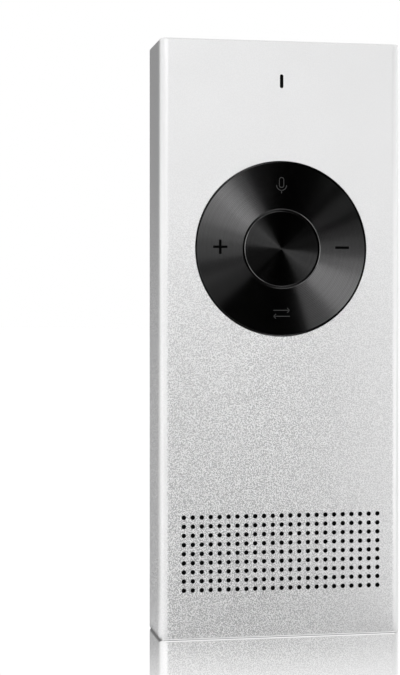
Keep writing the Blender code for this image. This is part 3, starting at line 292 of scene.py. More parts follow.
class Shading:
    """The node tree of a material or a world."""

    def __init__(self, owner):
        owner.use_nodes = True
        self.tree = owner.node_tree
        self.tree.nodes.clear()

    def add(self, kind, settings=(), inputs=(), output=0):
        """Adds one node: its settings first, then a value or a wire for its sockets."""
        node = self.tree.nodes.new("ShaderNode" + kind)
        for key, value in dict(settings).items():
            setattr(node, key, value)
        for key, value in dict(inputs).items():
            if isinstance(value, Wire):
                self.tree.links.new(value.socket, node.inputs[key])
            else:
                node.inputs[key].default_value = value
        return Wire(self, node.outputs[output])

    def place(self):
        """Where a point is on the object, in metres."""
        return self.add("TexCoord", output="Object")

    def axis(self, way, name):
        """One axis, X, Y or Z, of a vector."""
        return self.add("SeparateXYZ", {}, {0: way}, output=name)

    def ray(self, kind):
        """1 for one kind of ray, such as Camera or Glossy, and 0 for the others."""
        return self.add("LightPath", output=f"Is {kind} Ray")

    def noise(self, size, detail=2.0, stretch=(1, 1, 1), rough=0.5):
        """Noise from 0 to 1 whose blobs have about this size; stretch draws them out."""
        scaled = self.add(
            "Mapping", {}, {"Vector": self.place(), "Scale": [1 / (size * s) for s in stretch]}
        )
        return self.add(
            "TexNoise", {}, {"Vector": scaled, "Scale": 1.0, "Detail": detail, "Roughness": rough}
        )

    def ramp(self, value, low, high):
        """Value spread so that low becomes 0 and high becomes 1, and no further."""
        return self.add(
            "MapRange", {"interpolation_type": "SMOOTHSTEP"},
            {"Value": value, "From Min": low, "From Max": high},
        )

    def mixed(self, share, first, second):
        """A colour between two, by share."""
        return self.add("Mix", {"data_type": "RGBA"}, {0: share, 6: first, 7: second}, output=2)

    def bump(self, height, depth):
        """A normal for a surface that rises by depth where height goes from 0 to 1."""
        return self.add("Bump", {}, {"Height": height, "Distance": depth, "Strength": 1.0})

    def close(self, surface, socket="Surface", kind="OutputMaterial"):
        """Leads the last shader to the output node."""
        end = self.tree.nodes.new("ShaderNode" + kind)
        self.tree.links.new(surface.socket, end.inputs[socket])


def principled(name, **inputs):
    """A material, its shading and a closing call that takes the Principled inputs."""
    material = bpy.data.materials.new(name)
    shading = Shading(material)

    def close(**varying):
        values = {key.replace("_", " "): value for key, value in {**inputs, **varying}.items()}
        shading.close(shading.add("BsdfPrincipled", {}, values))
        return material

    return shading, close


# %% [markdown]
# ## Sandblasted aluminium
#
# The sleeve is blasted with fine glass beads and then anodised clear. Up close that is
# a field of tiny craters, each with a pale and a dark side, which the eye reads as
# grain. A bump alone is lost where a pixel covers a whole crater, so pale and dark spots
# of that size carry the grain in the colour, with each crater's highlight and shade
# painted on; the bump only breaks up the highlights. Masks along the sleeve make the
# grain stronger where the light shows it, low down and at the left, and paint
# highlights on the long edges and a lighter patch at mid height on the left.

# %% The sleeve's finish
CRATER, CRATER_DEPTH = 0.16 * MM, 0.14 * MM
SPECK, CLOUD = 0.18 * MM, 9 * MM
EDGE_STARTS = HALF_WIDTH - LONG_EDGE_RADIUS - 0.1 * MM
EDGE_FULL = EDGE_STARTS + 0.6 * MM
DEPTH_STARTS = BACK - LONG_EDGE_RADIUS - 0.2 * MM
DEPTH_FULL = DEPTH_STARTS + 0.5 * MM
TOP_GRAIN, FOOT_GRAIN = 0.05, 0.93
RIGHT_CALM, EDGE_CALM = 0.6, 0.8
# The last two numbers lighten the colour: painted highlight on the long edges and painted light
# at mid height.
PLAIN, EDGE_PAINTED_LIGHT, MIDDLE_PAINTED_LIGHT = 0.51, 0.26, 0.13


def blasted_aluminium():
    """Grain stronger low down and at the left; painted highlights on the edges and painted light
    at mid height.
    """
    shading, close = principled("blasted_aluminium", Metallic=1.0)
    across, deep, height = (shading.axis(shading.place(), name) for name in "XYZ")

    def along(low, high):
        """From 0 to 1 between two shares of the sleeve's height."""
        return shading.ramp(height, HEIGHT * low, HEIGHT * high)

    craters = shading.noise(CRATER, rough=0.6)
    # Pale and dark spots of crater size: the grain, with each crater's highlight and shade
    # painted on.
    grain_with_painted_shading = shading.ramp(shading.noise(SPECK, detail=0), 0.38, 0.62)
    clouds = shading.noise(CLOUD)
    beyond = shading.ramp(across * across, EDGE_STARTS ** 2, EDGE_FULL ** 2)
    edge = beyond * shading.ramp(deep * deep, DEPTH_STARTS ** 2, DEPTH_FULL ** 2)
    # Painted highlight: a lighter colour on the long rounded edges, all along on the right, and
    # on the left only below the top part, strongest at about a quarter of the height.
    right = shading.ramp(across, -1 * MM, 1 * MM)
    left = along(0.92, 0.6) + along(0.6, 0.35) * along(0.08, 0.22) * 0.75
    painted_edge_light = edge * (right + (1 - right) * left)
    # Painted light: a lighter patch on the face at mid height, towards the left.
    middle = along(0.1, 0.45) * along(0.85, 0.55) * (1 - edge)
    middle = middle * (1 - shading.ramp(across, -0.6 * HALF_WIDTH, 0.4 * HALF_WIDTH))
    # The blast is even; the grain's strength, in the bump and in the painted spots, follows the
    # light: strong low down and at the left, weak at the top, on the right, on the edges and on
    # the bottom chamfer.
    grain_strength = along(0.82, 0.34) * FOOT_GRAIN + TOP_GRAIN
    grain_strength = grain_strength * (1 - shading.ramp(across, -0.3 * HALF_WIDTH, HALF_WIDTH) * RIGHT_CALM)
    grain_strength = grain_strength * (1 - edge * EDGE_CALM) * shading.ramp(height, 0.2 * MM, 0.5 * MM)
    grain = (grain_with_painted_shading - 0.5) * grain_strength + PLAIN + painted_edge_light * EDGE_PAINTED_LIGHT + middle * MIDDLE_PAINTED_LIGHT
    return close(
        Base_Color=shading.mixed(grain, (0.52, 0.52, 0.525, 1), WHITE),
        Roughness=0.44 + clouds * 0.04,
        Normal=shading.bump(craters * grain_strength, CRATER_DEPTH),
    )


ALUMINIUM = blasted_aluminium()


def hole_wall_painted_shade():
    """Painted shade on the walls of holes and slots: rough and black, as no light comes back from
    them.
    """
    shading, close = principled("hole_wall_painted_shade", Specular_IOR_Level=0.05)
    rings = shading.noise(0.1 * MM, stretch=(4, 1, 4))
    tint = shading.mixed(rings, grey(0.004), grey(0.014))
    return close(
        Base_Color=tint, Roughness=0.85 + rings * 0.1, Normal=shading.bump(rings, 0.01 * MM)
    )


HOLE_WALL_PAINTED_SHADE = hole_wall_painted_shade()

# %% [markdown]
# ## Black turned metal
#
# The ring and the button are turned on a lathe and anodised black. Their fine grooves
# are real geometry here, because grooves spread a lamp's reflection across themselves
# and so draw the light and dark sectors that meet in the middle. The finish itself
# only needs a dark metal, fairly smooth, with faint turning marks.

# %% The black finishes
TURNING_MARK = 0.42 * MM
RING_CONTRAST = 0.06
SIGN_ROUGHNESS = 0.85


def turned_black(name, roughness, shade):
    """Black turned metal whose shade changes a little from ring to ring."""
    shading, close = principled(name, Metallic=1.0)
    wear = shading.noise(3 * MM, detail=3)
    offset = shading.add(
        "VectorMath", {"operation": "SUBTRACT"}, {0: shading.place(), 1: (0, 0, KEY_HEIGHT)}
    )
    flat = shading.add("VectorMath", {"operation": "MULTIPLY"}, {0: offset, 1: (1, 0, 1)})
    radius = shading.add("VectorMath", {"operation": "LENGTH"}, {0: flat}, output="Value")
    rings = shading.add(
        "TexNoise", {"noise_dimensions": "1D"},
        {"W": radius * (1 / TURNING_MARK), "Scale": 1.0, "Detail": 2.0},
    )
    rings = shading.ramp(rings, 0.3, 0.7)
    low, high = shade * (1 - RING_CONTRAST), shade * (1 + RING_CONTRAST)
    tint = shading.mixed(rings, (low, low, low, 1), (high, high, high * 1.01, 1))
    marks = shading.noise(0.08 * MM)
    return close(
        Base_Color=tint,
        Roughness=roughness + wear * 0.04,
        Normal=shading.bump(marks, 0.001 * MM),
    )


def matte_paint(name, shade, gloss=0.1):
    """Paint or ink: flat, with the faint grain of a printed or filled mark."""
    shading, close = principled(name, Specular_IOR_Level=gloss)
    grain = shading.noise(0.05 * MM)
    return close(
        Base_Color=shading.mixed(grain, grey(shade * 0.8), grey(shade)),
        Roughness=SIGN_ROUGHNESS,
        Normal=shading.bump(grain, 0.004 * MM),
    )


RING_BLACK = turned_black("ring_black", 0.13, 0.06)
BUTTON_BLACK = turned_black("button_black", 0.13, 0.0165)
POLISHED_RIM = turned_black("polished_rim", 0.12, 0.2)
SIGN_BLACK = matte_paint("sign_black", 0.002, gloss=0.0)
SIGN_GREY = matte_paint("sign_grey", 0.045)

# %% [markdown]
# ## Plastics, metals and the rest
#
# The other finishes differ only in colour, gloss and grain, so one function makes the
# moulded plastics and one the bare metals. The board, the cloth, the foil and the foam
# have patterns of their own.

# %% Moulded plastics and bare metals
def moulded(name, colour, roughness, grain_size=0.15, grain_depth=0.006, contrast=0.12):
    """Moulded plastic or rubber: eroded grain, and a colour that is not quite even."""
    shading, close = principled(name)
    grain = shading.noise(grain_size * MM, detail=3, rough=0.6)
    clouds = shading.noise(5 * MM)
    dark = [c * (1 - contrast) for c in colour] + [1]
    tint = shading.mixed(grain * 0.6 + clouds * 0.4, dark, [*colour, 1])
    return close(
        Base_Color=tint,
        Roughness=roughness + clouds * 0.06,
        Normal=shading.bump(grain, grain_depth * MM),
    )


def bare_metal(name, colour, roughness, stretch=(1, 1, 12), depth=0.002):
    """Rolled or plated metal: long shallow scratches along one way."""
    shading, close = principled(name, Metallic=1.0)
    scratches = shading.noise(0.05 * MM, stretch=stretch)
    clouds = shading.noise(4 * MM)
    dark = [c * 0.9 for c in colour] + [1]
    return close(
        Base_Color=shading.mixed(clouds, dark, [*colour, 1]),
        Roughness=roughness + scratches * 0.08,
        Normal=shading.bump(scratches, depth * MM),
    )


def window_plastic():
    """The radio window: violet-grey plastic with metal flakes under a fine grain."""
    shading, close = principled("window_plastic_grained")
    grain = shading.noise(0.16 * MM, detail=3, rough=0.65)
    flakes = shading.ramp(shading.noise(0.11 * MM, detail=1), 0.60, 0.72)
    ground = shading.mixed(grain, (0.075, 0.070, 0.092, 1), (0.125, 0.118, 0.150, 1))
    tint = shading.mixed(flakes, ground, (0.34, 0.33, 0.38, 1))
    return close(
        Base_Color=tint,
        Roughness=0.52 - flakes * 0.15,
        Normal=shading.bump(grain, 0.012 * MM),
    )


WINDOW = window_plastic()
CAP_PLASTIC = moulded("cap_plastic", (0.045, 0.045, 0.048), 0.48)
SCREW_STEEL = bare_metal("screw_steel", (0.42, 0.42, 0.43), 0.28, stretch=(1, 1, 1))
SOCKET_STEEL = bare_metal("socket_steel", (0.62, 0.62, 0.63), 0.26)
TONGUE_PLASTIC = moulded("tongue_plastic", (0.012, 0.012, 0.013), 0.42, grain_size=0.08)
CONTACT_GOLD = bare_metal("contact_gold", (0.83, 0.60, 0.25), 0.24, depth=0.001)

# %% [markdown]
# ## The sleeve
#
# The real sleeve is one extruded tube, machined on all sides. The shape follows that
# order: the section gives the long rounded edges, an outline seen from the front gives
# the round corners and the small chamfers of both ends, and then the cavity, the round
# opening, the microphone slot, the window notch and the grille holes are cut.

# %% Blank of the sleeve
OUTLINE_CORNER_RADIUS = 0.7 * MM
END_CHAMFER = 0.25 * MM
SPARE = 1.0 * MM
ROUND_STEPS = 192

blank = rounded_block(
    (-HALF_WIDTH, FRONT, -SPARE), (HALF_WIDTH, BACK, HEIGHT + SPARE),
    Z_AXIS, LONG_EDGE_RADIUS, 10,
)
outline = rounded_block(
    (-HALF_WIDTH, FRONT, 0), (HALF_WIDTH, BACK, HEIGHT), Y_AXIS, OUTLINE_CORNER_RADIUS, 7
)
soften(outline, END_CHAMFER, segments=1)
blank = cut(blank, outline, operation="INTERSECT")
print("sleeve blank:", len(blank.faces), "faces,", open_edges(blank), "open edges")


# %% Tools that cut the sleeve
def flared(bm, axis, ends, amount):
    """Widens the end faces, -1 the low one and 1 the high one, for a chamfered mouth."""
    for outward in ends:
        face = max(bm.faces, key=lambda f: outward * f.calc_center_median()[axis])
        verts = list(face.verts)
        middle = face.calc_center_median()
        spans = [max(abs(v.co[i] - middle[i]) for v in verts) for i in range(3)]
        grown = bmesh.ops.extrude_discrete_faces(bm, faces=[face])["faces"][0]
        for vert in grown.verts:
            for i in range(3):
                if i != axis and spans[i]:
                    share = (vert.co[i] - middle[i]) / spans[i]
                    vert.co[i] += share * 2 * amount
            vert.co[axis] += outward * 2 * amount
    return bm


def front_plug(radius, steps, chamfer, height):
    """A round cutter through the front wall whose mouth widens by the chamfer."""
    profile = [
        (0, INNER_FRONT + SPARE),
        (radius, INNER_FRONT + SPARE),
        (radius, FRONT + chamfer),
        (radius + 2 * chamfer, FRONT - chamfer),
        (0, FRONT - chamfer),
    ]
    return turned(profile, (0, 0, height), steps=steps)


MOUTH_CHAMFER = 0.15 * MM
CAVITY_CORNER = 1.2 * MM
OPENING_CHAMFER = 0.06 * MM
cavity = rounded_block(
    (-CAVITY_HALF_WIDTH, INNER_FRONT, MOUTH_CHAMFER),
    (CAVITY_HALF_WIDTH, INNER_BACK, HEIGHT - MOUTH_CHAMFER), Z_AXIS, CAVITY_CORNER,
)
flared(cavity, Z_AXIS, (-1, 1), MOUTH_CHAMFER)
key_opening = front_plug(RING_OPENING_RADIUS, ROUND_STEPS, OPENING_CHAMFER, KEY_HEIGHT)

SLOT_HEIGHT = HEIGHT - 7.47 * MM
SLOT_HALF_WIDTH, SLOT_HALF_LENGTH, SLOT_CORNER = 0.33 * MM, 1.28 * MM, 0.32 * MM
slot = rounded_block(
    (-SLOT_HALF_WIDTH, FRONT - SPARE, SLOT_HEIGHT - SLOT_HALF_LENGTH),
    (SLOT_HALF_WIDTH, INNER_FRONT + SPARE, SLOT_HEIGHT + SLOT_HALF_LENGTH),
    Y_AXIS, SLOT_CORNER,
)

# %% [markdown]
# ### The grille
#
# The holes stand in 23 columns and 9 rows. One cutter is turned and then copied across
# the field, so a single Boolean cuts them all. Twenty sides make a hole look round
# from close by and keep 207 of them light.

# %% Grille cutters
COLUMNS, ROWS = 23, 9
HOLE_PITCH = 1.665 * MM
HOLE_RADIUS, HOLE_SIDES, HOLE_CHAMFER = 0.42 * MM, 20, 0.03 * MM
GRILLE_HEIGHT = 15.7 * MM

hole = front_plug(HOLE_RADIUS, HOLE_SIDES, HOLE_CHAMFER, GRILLE_HEIGHT)
drills = bmesh.new()
hole_mesh = bpy.data.meshes.new("hole")
hole.to_mesh(hole_mesh)
hole.free()
for column in range(COLUMNS):
    for row in range(ROWS):
        before = len(drills.verts)
        drills.from_mesh(hole_mesh)
        drills.verts.ensure_lookup_table()
        across = (column - (COLUMNS - 1) / 2) * HOLE_PITCH
        up = (row - (ROWS - 1) / 2) * HOLE_PITCH
        bmesh.ops.translate(drills, verts=drills.verts[before:], vec=(across, 0, up))
bpy.data.meshes.remove(hole_mesh)
print("grille:", COLUMNS * ROWS, "holes")


# %% Window prism, used for the notch and for the window itself
WINDOW_HEIGHT, WINDOW_SPREAD = 9.2 * MM, 2.4 * MM
WINDOW_BOTTOM = HEIGHT - WINDOW_HEIGHT
WINDOW_BOTTOM_HALF = 15.7 * MM
WINDOW_SLANT = WINDOW_SPREAD / WINDOW_HEIGHT
WINDOW_CORNER = 2.4 * MM


def window_prism(inset, top, near, far):
    """A plate with the window's outline, drawn in by inset, from one depth to another."""
    low = WINDOW_BOTTOM + inset
    drawn_in = inset * math.hypot(1, WINDOW_SLANT)
    low_half = WINDOW_BOTTOM_HALF + WINDOW_SLANT * inset - drawn_in
    top_half = WINDOW_BOTTOM_HALF + WINDOW_SLANT * (top - WINDOW_BOTTOM) - drawn_in
    bm = bmesh.new()
    corners = [(-low_half, low), (low_half, low), (top_half, top), (-top_half, top)]
    face = bm.faces.new([bm.verts.new((x, near, z)) for x, z in corners])
    grown = bmesh.ops.extrude_face_region(bm, geom=[face])["geom"]
    moved = [item for item in grown if isinstance(item, bmesh.types.BMVert)]
    bmesh.ops.translate(bm, verts=moved, vec=(0, far - near, 0))
    low_edges = [
        edge for edge in edges_along(bm, Y_AXIS)
        if edge.verts[0].co.z < (low + top) / 2
    ]
    bevelled(bm, low_edges, WINDOW_CORNER - inset, 10)
    bmesh.ops.recalc_face_normals(bm, faces=bm.faces)
    return bm


# %% Cut the sleeve
SMALL = 0.01 * MM
DARK_FROM, DARK_TO = 5 * MM, HEIGHT - 4 * MM
notch = window_prism(0, HEIGHT + SPARE, INNER_BACK - SPARE, BACK + SPARE)
sleeve = cut(blank, cavity, notch, key_opening, slot, drills)
# The walls of the openings in the front wall take the painted shade.
walls = 0
for face in sleeve.faces:
    middle = face.calc_center_median()
    inside = abs(middle.x) < CAVITY_HALF_WIDTH and DARK_FROM < middle.z < DARK_TO
    if inside and FRONT + OPENING_CHAMFER < middle.y < INNER_FRONT - SMALL:
        face.material_index = 1
        walls += 1
print("faces of hole walls:", walls)
finished(
    "sleeve", sleeve, "housing", [ALUMINIUM, HOLE_WALL_PAINTED_SHADE],
    replaces=["housing_sleeve"],
)

# %% [markdown]
# ## Ring and button
#
# A pointed lathe tool leaves V-shaped grooves about a quarter of a millimetre apart. Two
# points for each groove draw its two plain flanks. Each flank mirrors one direction, so
# round the ring the light and dark sectors come by themselves.


# %% A grooved face for the lathe profile
def grooves(inner, outer, pitch, lean, level):
    """Points of a grooved face, outwards; the flanks lean by degrees, and +Y is inwards."""
    count = round((outer - inner) / pitch)
    step = (outer - inner) / count
    depth = math.tan(math.radians(lean)) * step / 2
    points = []
    for index in range(count):
        start = inner + index * step
        points += [(start, level), (start + step / 2, level + depth)]
    points.append((outer, level))
    return points


# %% The ring
RING_PITCH, RING_LEAN = 0.28 * MM, 19
RING_BACK = KEY_FRONT + 1.85 * MM
FLANGE_FRONT = INNER_FRONT + 0.5 * MM
FLANGE_BACK = FLANGE_FRONT + 0.6 * MM
FLANGE_RADIUS = RING_RADIUS + 1.25 * MM
RING_RECESS_RADIUS = RING_RADIUS - 0.95 * MM
EDGE = 0.1 * MM

ring_profile = [
    *grooves(RING_BORE_RADIUS + EDGE, RING_RADIUS - EDGE, RING_PITCH, RING_LEAN, KEY_FRONT),
    (RING_RADIUS, KEY_FRONT + EDGE),
    (RING_RADIUS, FLANGE_FRONT),
    (FLANGE_RADIUS, FLANGE_FRONT),
    (FLANGE_RADIUS, FLANGE_BACK),
    (RING_RECESS_RADIUS, FLANGE_BACK),
    (RING_RECESS_RADIUS, RING_BACK),
    (RING_BORE_RADIUS, RING_BACK),
    (RING_BORE_RADIUS, KEY_FRONT + EDGE),
]
ring = turned(ring_profile, (0, 0, KEY_HEIGHT), steps=ROUND_STEPS, closed=True)
for face in ring.faces:
    middle = face.calc_center_median()
    reach = math.hypot(middle.x, middle.z - KEY_HEIGHT)
    if reach < RING_BORE_RADIUS + EDGE and middle.y < KEY_FRONT + EDGE:
        face.material_index = 2

# %% [markdown]
# ### Signs on the ring
#
# Plus and minus are milled into the ring and filled with black. The upper sign is a
# microphone and the lower one a pair of arrows for swapping the languages; both are
# printed in grey so thin that they barely stand proud.

# %% Plus and minus
SIGN_PLACE = 0.49
SIGN_RADIUS = RING_BORE_RADIUS + (RING_RADIUS - RING_BORE_RADIUS) * SIGN_PLACE
ARM, STROKE, SIGN_DEPTH, SIGN_CORNER = 2.65 * MM, 0.46 * MM, 0.12 * MM, 0.06 * MM
SIGN_HEIGHT = KEY_HEIGHT + 0.3 * MM
PAINT_FROM, PAINT_TO = KEY_FRONT + 0.055 * MM, KEY_FRONT + 0.2 * MM


def bar(across, up, width, height, near, far, radius=0.0):
    """A flat bar on the front, given by its middle and its size."""
    return rounded_block(
        (across - width / 2, near, up - height / 2),
        (across + width / 2, far, up + height / 2), Y_AXIS, radius, 3,
    )


sign_cuts = [
    bar(x, SIGN_HEIGHT, width, height, KEY_FRONT - SPARE, KEY_FRONT + SIGN_DEPTH, SIGN_CORNER)
    for x, width, height in (
        (-SIGN_RADIUS, ARM, STROKE), (-SIGN_RADIUS, STROKE, ARM), (SIGN_RADIUS, ARM, STROKE)
    )
]
ring = cut(ring, *sign_cuts)
for face in ring.faces:
    middle = face.calc_center_median()
    beside = abs(abs(middle.x) - SIGN_RADIUS) < ARM and abs(middle.z - SIGN_HEIGHT) < ARM
    if beside and PAINT_FROM < middle.y < PAINT_TO:
        face.material_index = 1

NUB_RADIUS, NUB_CIRCLE = 0.8 * MM, 10.2 * MM
NUB_ROOT, NUB_TIP = RING_BACK - 0.2 * MM, RING_BACK + 1.3 * MM
nubs = [
    turned(
        [(0, NUB_ROOT), (NUB_RADIUS, NUB_ROOT), (NUB_RADIUS, NUB_TIP), (0, NUB_TIP)],
        (x * NUB_CIRCLE, 0, KEY_HEIGHT + z * NUB_CIRCLE), steps=24,
    )
    for x, z in ((1, 0), (0, 1), (-1, 0), (0, -1))
]
ring = joined(ring, *nubs)
finished(
    "ring", ring, "ring", [RING_BLACK, SIGN_BLACK, POLISHED_RIM],
    replaces=["control_ring"],
)

# %% Printed signs
PRINT_NEAR = KEY_FRONT - 0.012 * MM
PRINT_FAR = KEY_FRONT + 0.02 * MM
LINE = 0.15 * MM


def arc(across, up, radius, start, sweep, steps=16):
    """A curved stroke: a flat section swept about its centre in the front plane."""
    bm = bmesh.new()
    section = [(radius - LINE / 2, PRINT_NEAR), (radius + LINE / 2, PRINT_NEAR),
               (radius + LINE / 2, PRINT_FAR), (radius - LINE / 2, PRINT_FAR)]
    face = bm.faces.new([bm.verts.new((r, depth, 0)) for r, depth in section])
    bmesh.ops.rotate(
        bm, verts=bm.verts, cent=(0, 0, 0), matrix=Matrix.Rotation(-math.radians(start), 3, "Y")
    )
    bmesh.ops.spin(
        bm, geom=[face, *face.edges, *face.verts], cent=(0, 0, 0), axis=(0, -1, 0),
        angle=math.radians(sweep), steps=steps,
    )
    bmesh.ops.translate(bm, verts=bm.verts, vec=(across, 0, up))
    return bm


def line(start, end):
    """A straight printed stroke between two points of the front plane."""
    start, end = Vector(start), Vector(end)
    run = end - start
    bm = bar(0, 0, run.length + LINE, LINE, PRINT_NEAR, PRINT_FAR, LINE * 0.49)
    turn = Matrix.Rotation(-math.atan2(run.y, run.x), 3, "Y")
    bmesh.ops.rotate(bm, verts=bm.verts, cent=(0, 0, 0), matrix=turn)
    middle = (start + end) / 2
    bmesh.ops.translate(bm, verts=bm.verts, vec=(middle.x, 0, middle.y))
    return bm


PRINT_CIRCLE = 11.9 * MM
CAPSULE_HALF, CRADLE = 0.42 * MM, 0.95 * MM
CAPSULE_TOP = KEY_HEIGHT + PRINT_CIRCLE + 0.85 * MM
CAPSULE_FOOT = CAPSULE_TOP - 1.0 * MM
STAND_FOOT = CAPSULE_TOP - 2.45 * MM
microphone_sign = joined(
    arc(0, CAPSULE_TOP, CAPSULE_HALF, 0, 180),
    arc(0, CAPSULE_FOOT, CAPSULE_HALF, 180, 180),
    line((-CAPSULE_HALF, CAPSULE_FOOT), (-CAPSULE_HALF, CAPSULE_TOP)),
    line((CAPSULE_HALF, CAPSULE_FOOT), (CAPSULE_HALF, CAPSULE_TOP)),
    arc(0, CAPSULE_FOOT, CRADLE, 180, 180),
    line((0, CAPSULE_FOOT - CRADLE), (0, STAND_FOOT)),
)
finished("microphone_sign", microphone_sign, "ring", [SIGN_GREY])

ARROW_HALF, ARROW_LEVEL = 1.5 * MM, 0.55 * MM
BARB, NICK = 0.4 * MM, 0.02 * MM
strokes = []
for side in (-1, 1):
    level = KEY_HEIGHT - PRINT_CIRCLE + side * ARROW_LEVEL
    strokes.append(line((-side * ARROW_HALF, level), (side * ARROW_HALF, level)))
    for barb in (-1, 1):
        tip = (side * (ARROW_HALF - NICK), level + barb * NICK)
        strokes.append(line(tip, (side * (ARROW_HALF - BARB), level + barb * BARB)))
finished("swap_arrows_sign", joined(*strokes), "ring", [SIGN_GREY])

# %% The button
BUTTON_PITCH, BUTTON_LEAN = 0.20 * MM, 15
BUTTON_STEPS = 160
BUTTON_FLANGE_RADIUS = BUTTON_RADIUS + 1.0 * MM
BUTTON_FLANGE_FRONT = RING_BACK + 0.4 * MM
BUTTON_FLANGE_BACK = BUTTON_FLANGE_FRONT + 0.4 * MM
BUTTON_TIP = KEY_FRONT + 3.0 * MM
BUTTON_EDGE = 0.13 * MM

button_profile = [
    *grooves(0, BUTTON_RADIUS - BUTTON_EDGE, BUTTON_PITCH, BUTTON_LEAN, KEY_FRONT),
    (BUTTON_RADIUS, KEY_FRONT + BUTTON_EDGE),
    (BUTTON_RADIUS, BUTTON_FLANGE_FRONT),
    (BUTTON_FLANGE_RADIUS, BUTTON_FLANGE_FRONT),
    (BUTTON_FLANGE_RADIUS, BUTTON_FLANGE_BACK),
    (NUB_RADIUS, BUTTON_FLANGE_BACK),
    (NUB_RADIUS, BUTTON_TIP),
    (0, BUTTON_TIP),
]
button = turned(button_profile, (0, 0, KEY_HEIGHT), steps=BUTTON_STEPS)
for face in button.faces:
    middle = face.calc_center_median()
    reach = math.hypot(middle.x, middle.z - KEY_HEIGHT)
    if reach > BUTTON_RADIUS - BUTTON_EDGE and middle.y < KEY_FRONT + BUTTON_EDGE:
        face.material_index = 1
finished(
    "button", button, "button", [BUTTON_BLACK, POLISHED_RIM],
    replaces=["centre_button"],
)

# %% [markdown]
# ## Window, end caps and charging socket
#
# The window is a plate of plastic that fills the notch but for a dark seam, with a
# flange behind the wall. Both caps are flat plates set into the sleeve's ends. The
# lower one has the charging socket's mouth and two screws.

# %% The window
SEAM, WINDOW_RIM, FLANGE_SPREAD = 0.25 * MM, 0.12 * MM, 0.5 * MM
PLATE_TOP, NECK_TOP, FLANGE_TOP = HEIGHT - 0.05 * MM, HEIGHT - 2.5 * MM, HEIGHT - 2.3 * MM
PLATE_NEAR, NECK_NEAR = INNER_BACK - 0.2 * MM, INNER_BACK - 0.9 * MM
FLANGE_NEAR, FLANGE_FAR = INNER_BACK - 1.1 * MM, INNER_BACK - 0.3 * MM
plate = window_prism(SEAM, PLATE_TOP, PLATE_NEAR, BACK)
soften(plate, WINDOW_RIM, chosen=lambda edge: min(v.co.y for v in edge.verts) > BACK - SMALL)
neck = window_prism(SEAM + 0.2 * MM, NECK_TOP, NECK_NEAR, INNER_BACK)
flange = window_prism(-FLANGE_SPREAD, FLANGE_TOP, FLANGE_NEAR, FLANGE_FAR)
finished(
    "window", joined(plate, neck, flange), "housing", [WINDOW],
    replaces=["antenna_window"],
)

# %% End caps
CAP_PLAY = 0.3 * MM
CAP_HALF_WIDTH = CAVITY_HALF_WIDTH - CAP_PLAY
CAP_HALF_DEPTH = INNER_BACK - CAP_PLAY
CAP_EDGE, CAP_CORNER = 0.12 * MM, 0.9 * MM


def cap_plate(low, high):
    """A flat plate that fills the sleeve's end, with a small rounded rim."""
    bm = rounded_block(
        (-CAP_HALF_WIDTH, -CAP_HALF_DEPTH, low), (CAP_HALF_WIDTH, CAP_HALF_DEPTH, high),
        Z_AXIS, CAP_CORNER,
    )
    return soften(bm, CAP_EDGE)


top_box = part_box("top_cap")
CAP_THICKNESS = 1.8 * MM
CLIP_X, CLIP_WIDTH, CLIP_CORNER = 17.0 * MM, 0.8 * MM, 0.1 * MM
CLIP_NEAR, CLIP_FAR = -1.25 * MM, 0.55 * MM
clips = [
    rounded_block(
        (x, CLIP_NEAR, top_box[0].z), (x + CLIP_WIDTH, CLIP_FAR, top_box[1].z - 1 * MM),
        Z_AXIS, CLIP_CORNER, 2,
    )
    for x in (-CLIP_X - CLIP_WIDTH, CLIP_X)
]
finished(
    "upper_cap", joined(cap_plate(top_box[1].z - CAP_THICKNESS, top_box[1].z), *clips),
    "housing", [CAP_PLASTIC], replaces=["top_cap"],
)

SCREW_X = 15.0 * MM
WELL_RADIUS, WELL_FLOOR, SHANK_HOLE_RADIUS, SHANK_HOLE_END = 1.7 * MM, 1.3 * MM, 1.0 * MM, 3 * MM
bottom_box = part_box("bottom_cap")
SOCKET_HALF_WIDTH, SOCKET_HALF_DEPTH = 4.47 * MM, 1.6 * MM
SOCKET_PLAY, CAP_MOUTH_BEVEL = 0.3 * MM, 0.1 * MM


def stadium(half_width, half_depth, low, high, segments=12):
    """A block with round ends, as the charging socket has."""
    bm = rounded_block(
        (-half_width, -half_depth, low), (half_width, half_depth, high),
        Z_AXIS, half_depth, segments,
    )
    bmesh.ops.remove_doubles(bm, verts=bm.verts, dist=WELD)
    return bm


mouth = stadium(
    SOCKET_HALF_WIDTH + SOCKET_PLAY, SOCKET_HALF_DEPTH + SOCKET_PLAY,
    bottom_box[0].z + CAP_MOUTH_BEVEL, bottom_box[1].z + SPARE,
)
flared(mouth, Z_AXIS, (-1,), CAP_MOUTH_BEVEL)
well_profile = [
    (0, -SPARE), (WELL_RADIUS, -SPARE), (WELL_RADIUS, WELL_FLOOR),
    (SHANK_HOLE_RADIUS, WELL_FLOOR), (SHANK_HOLE_RADIUS, SHANK_HOLE_END), (0, SHANK_HOLE_END),
]
wells = [
    turned(well_profile, (x, 0, 0), axis=(0, 0, 1), steps=48) for x in (-SCREW_X, SCREW_X)
]
lower_cap = cut(cap_plate(bottom_box[0].z, bottom_box[1].z), mouth, *wells)
finished(
    "lower_cap", lower_cap, "housing", [CAP_PLASTIC],
    replaces=["bottom_cap"],
)

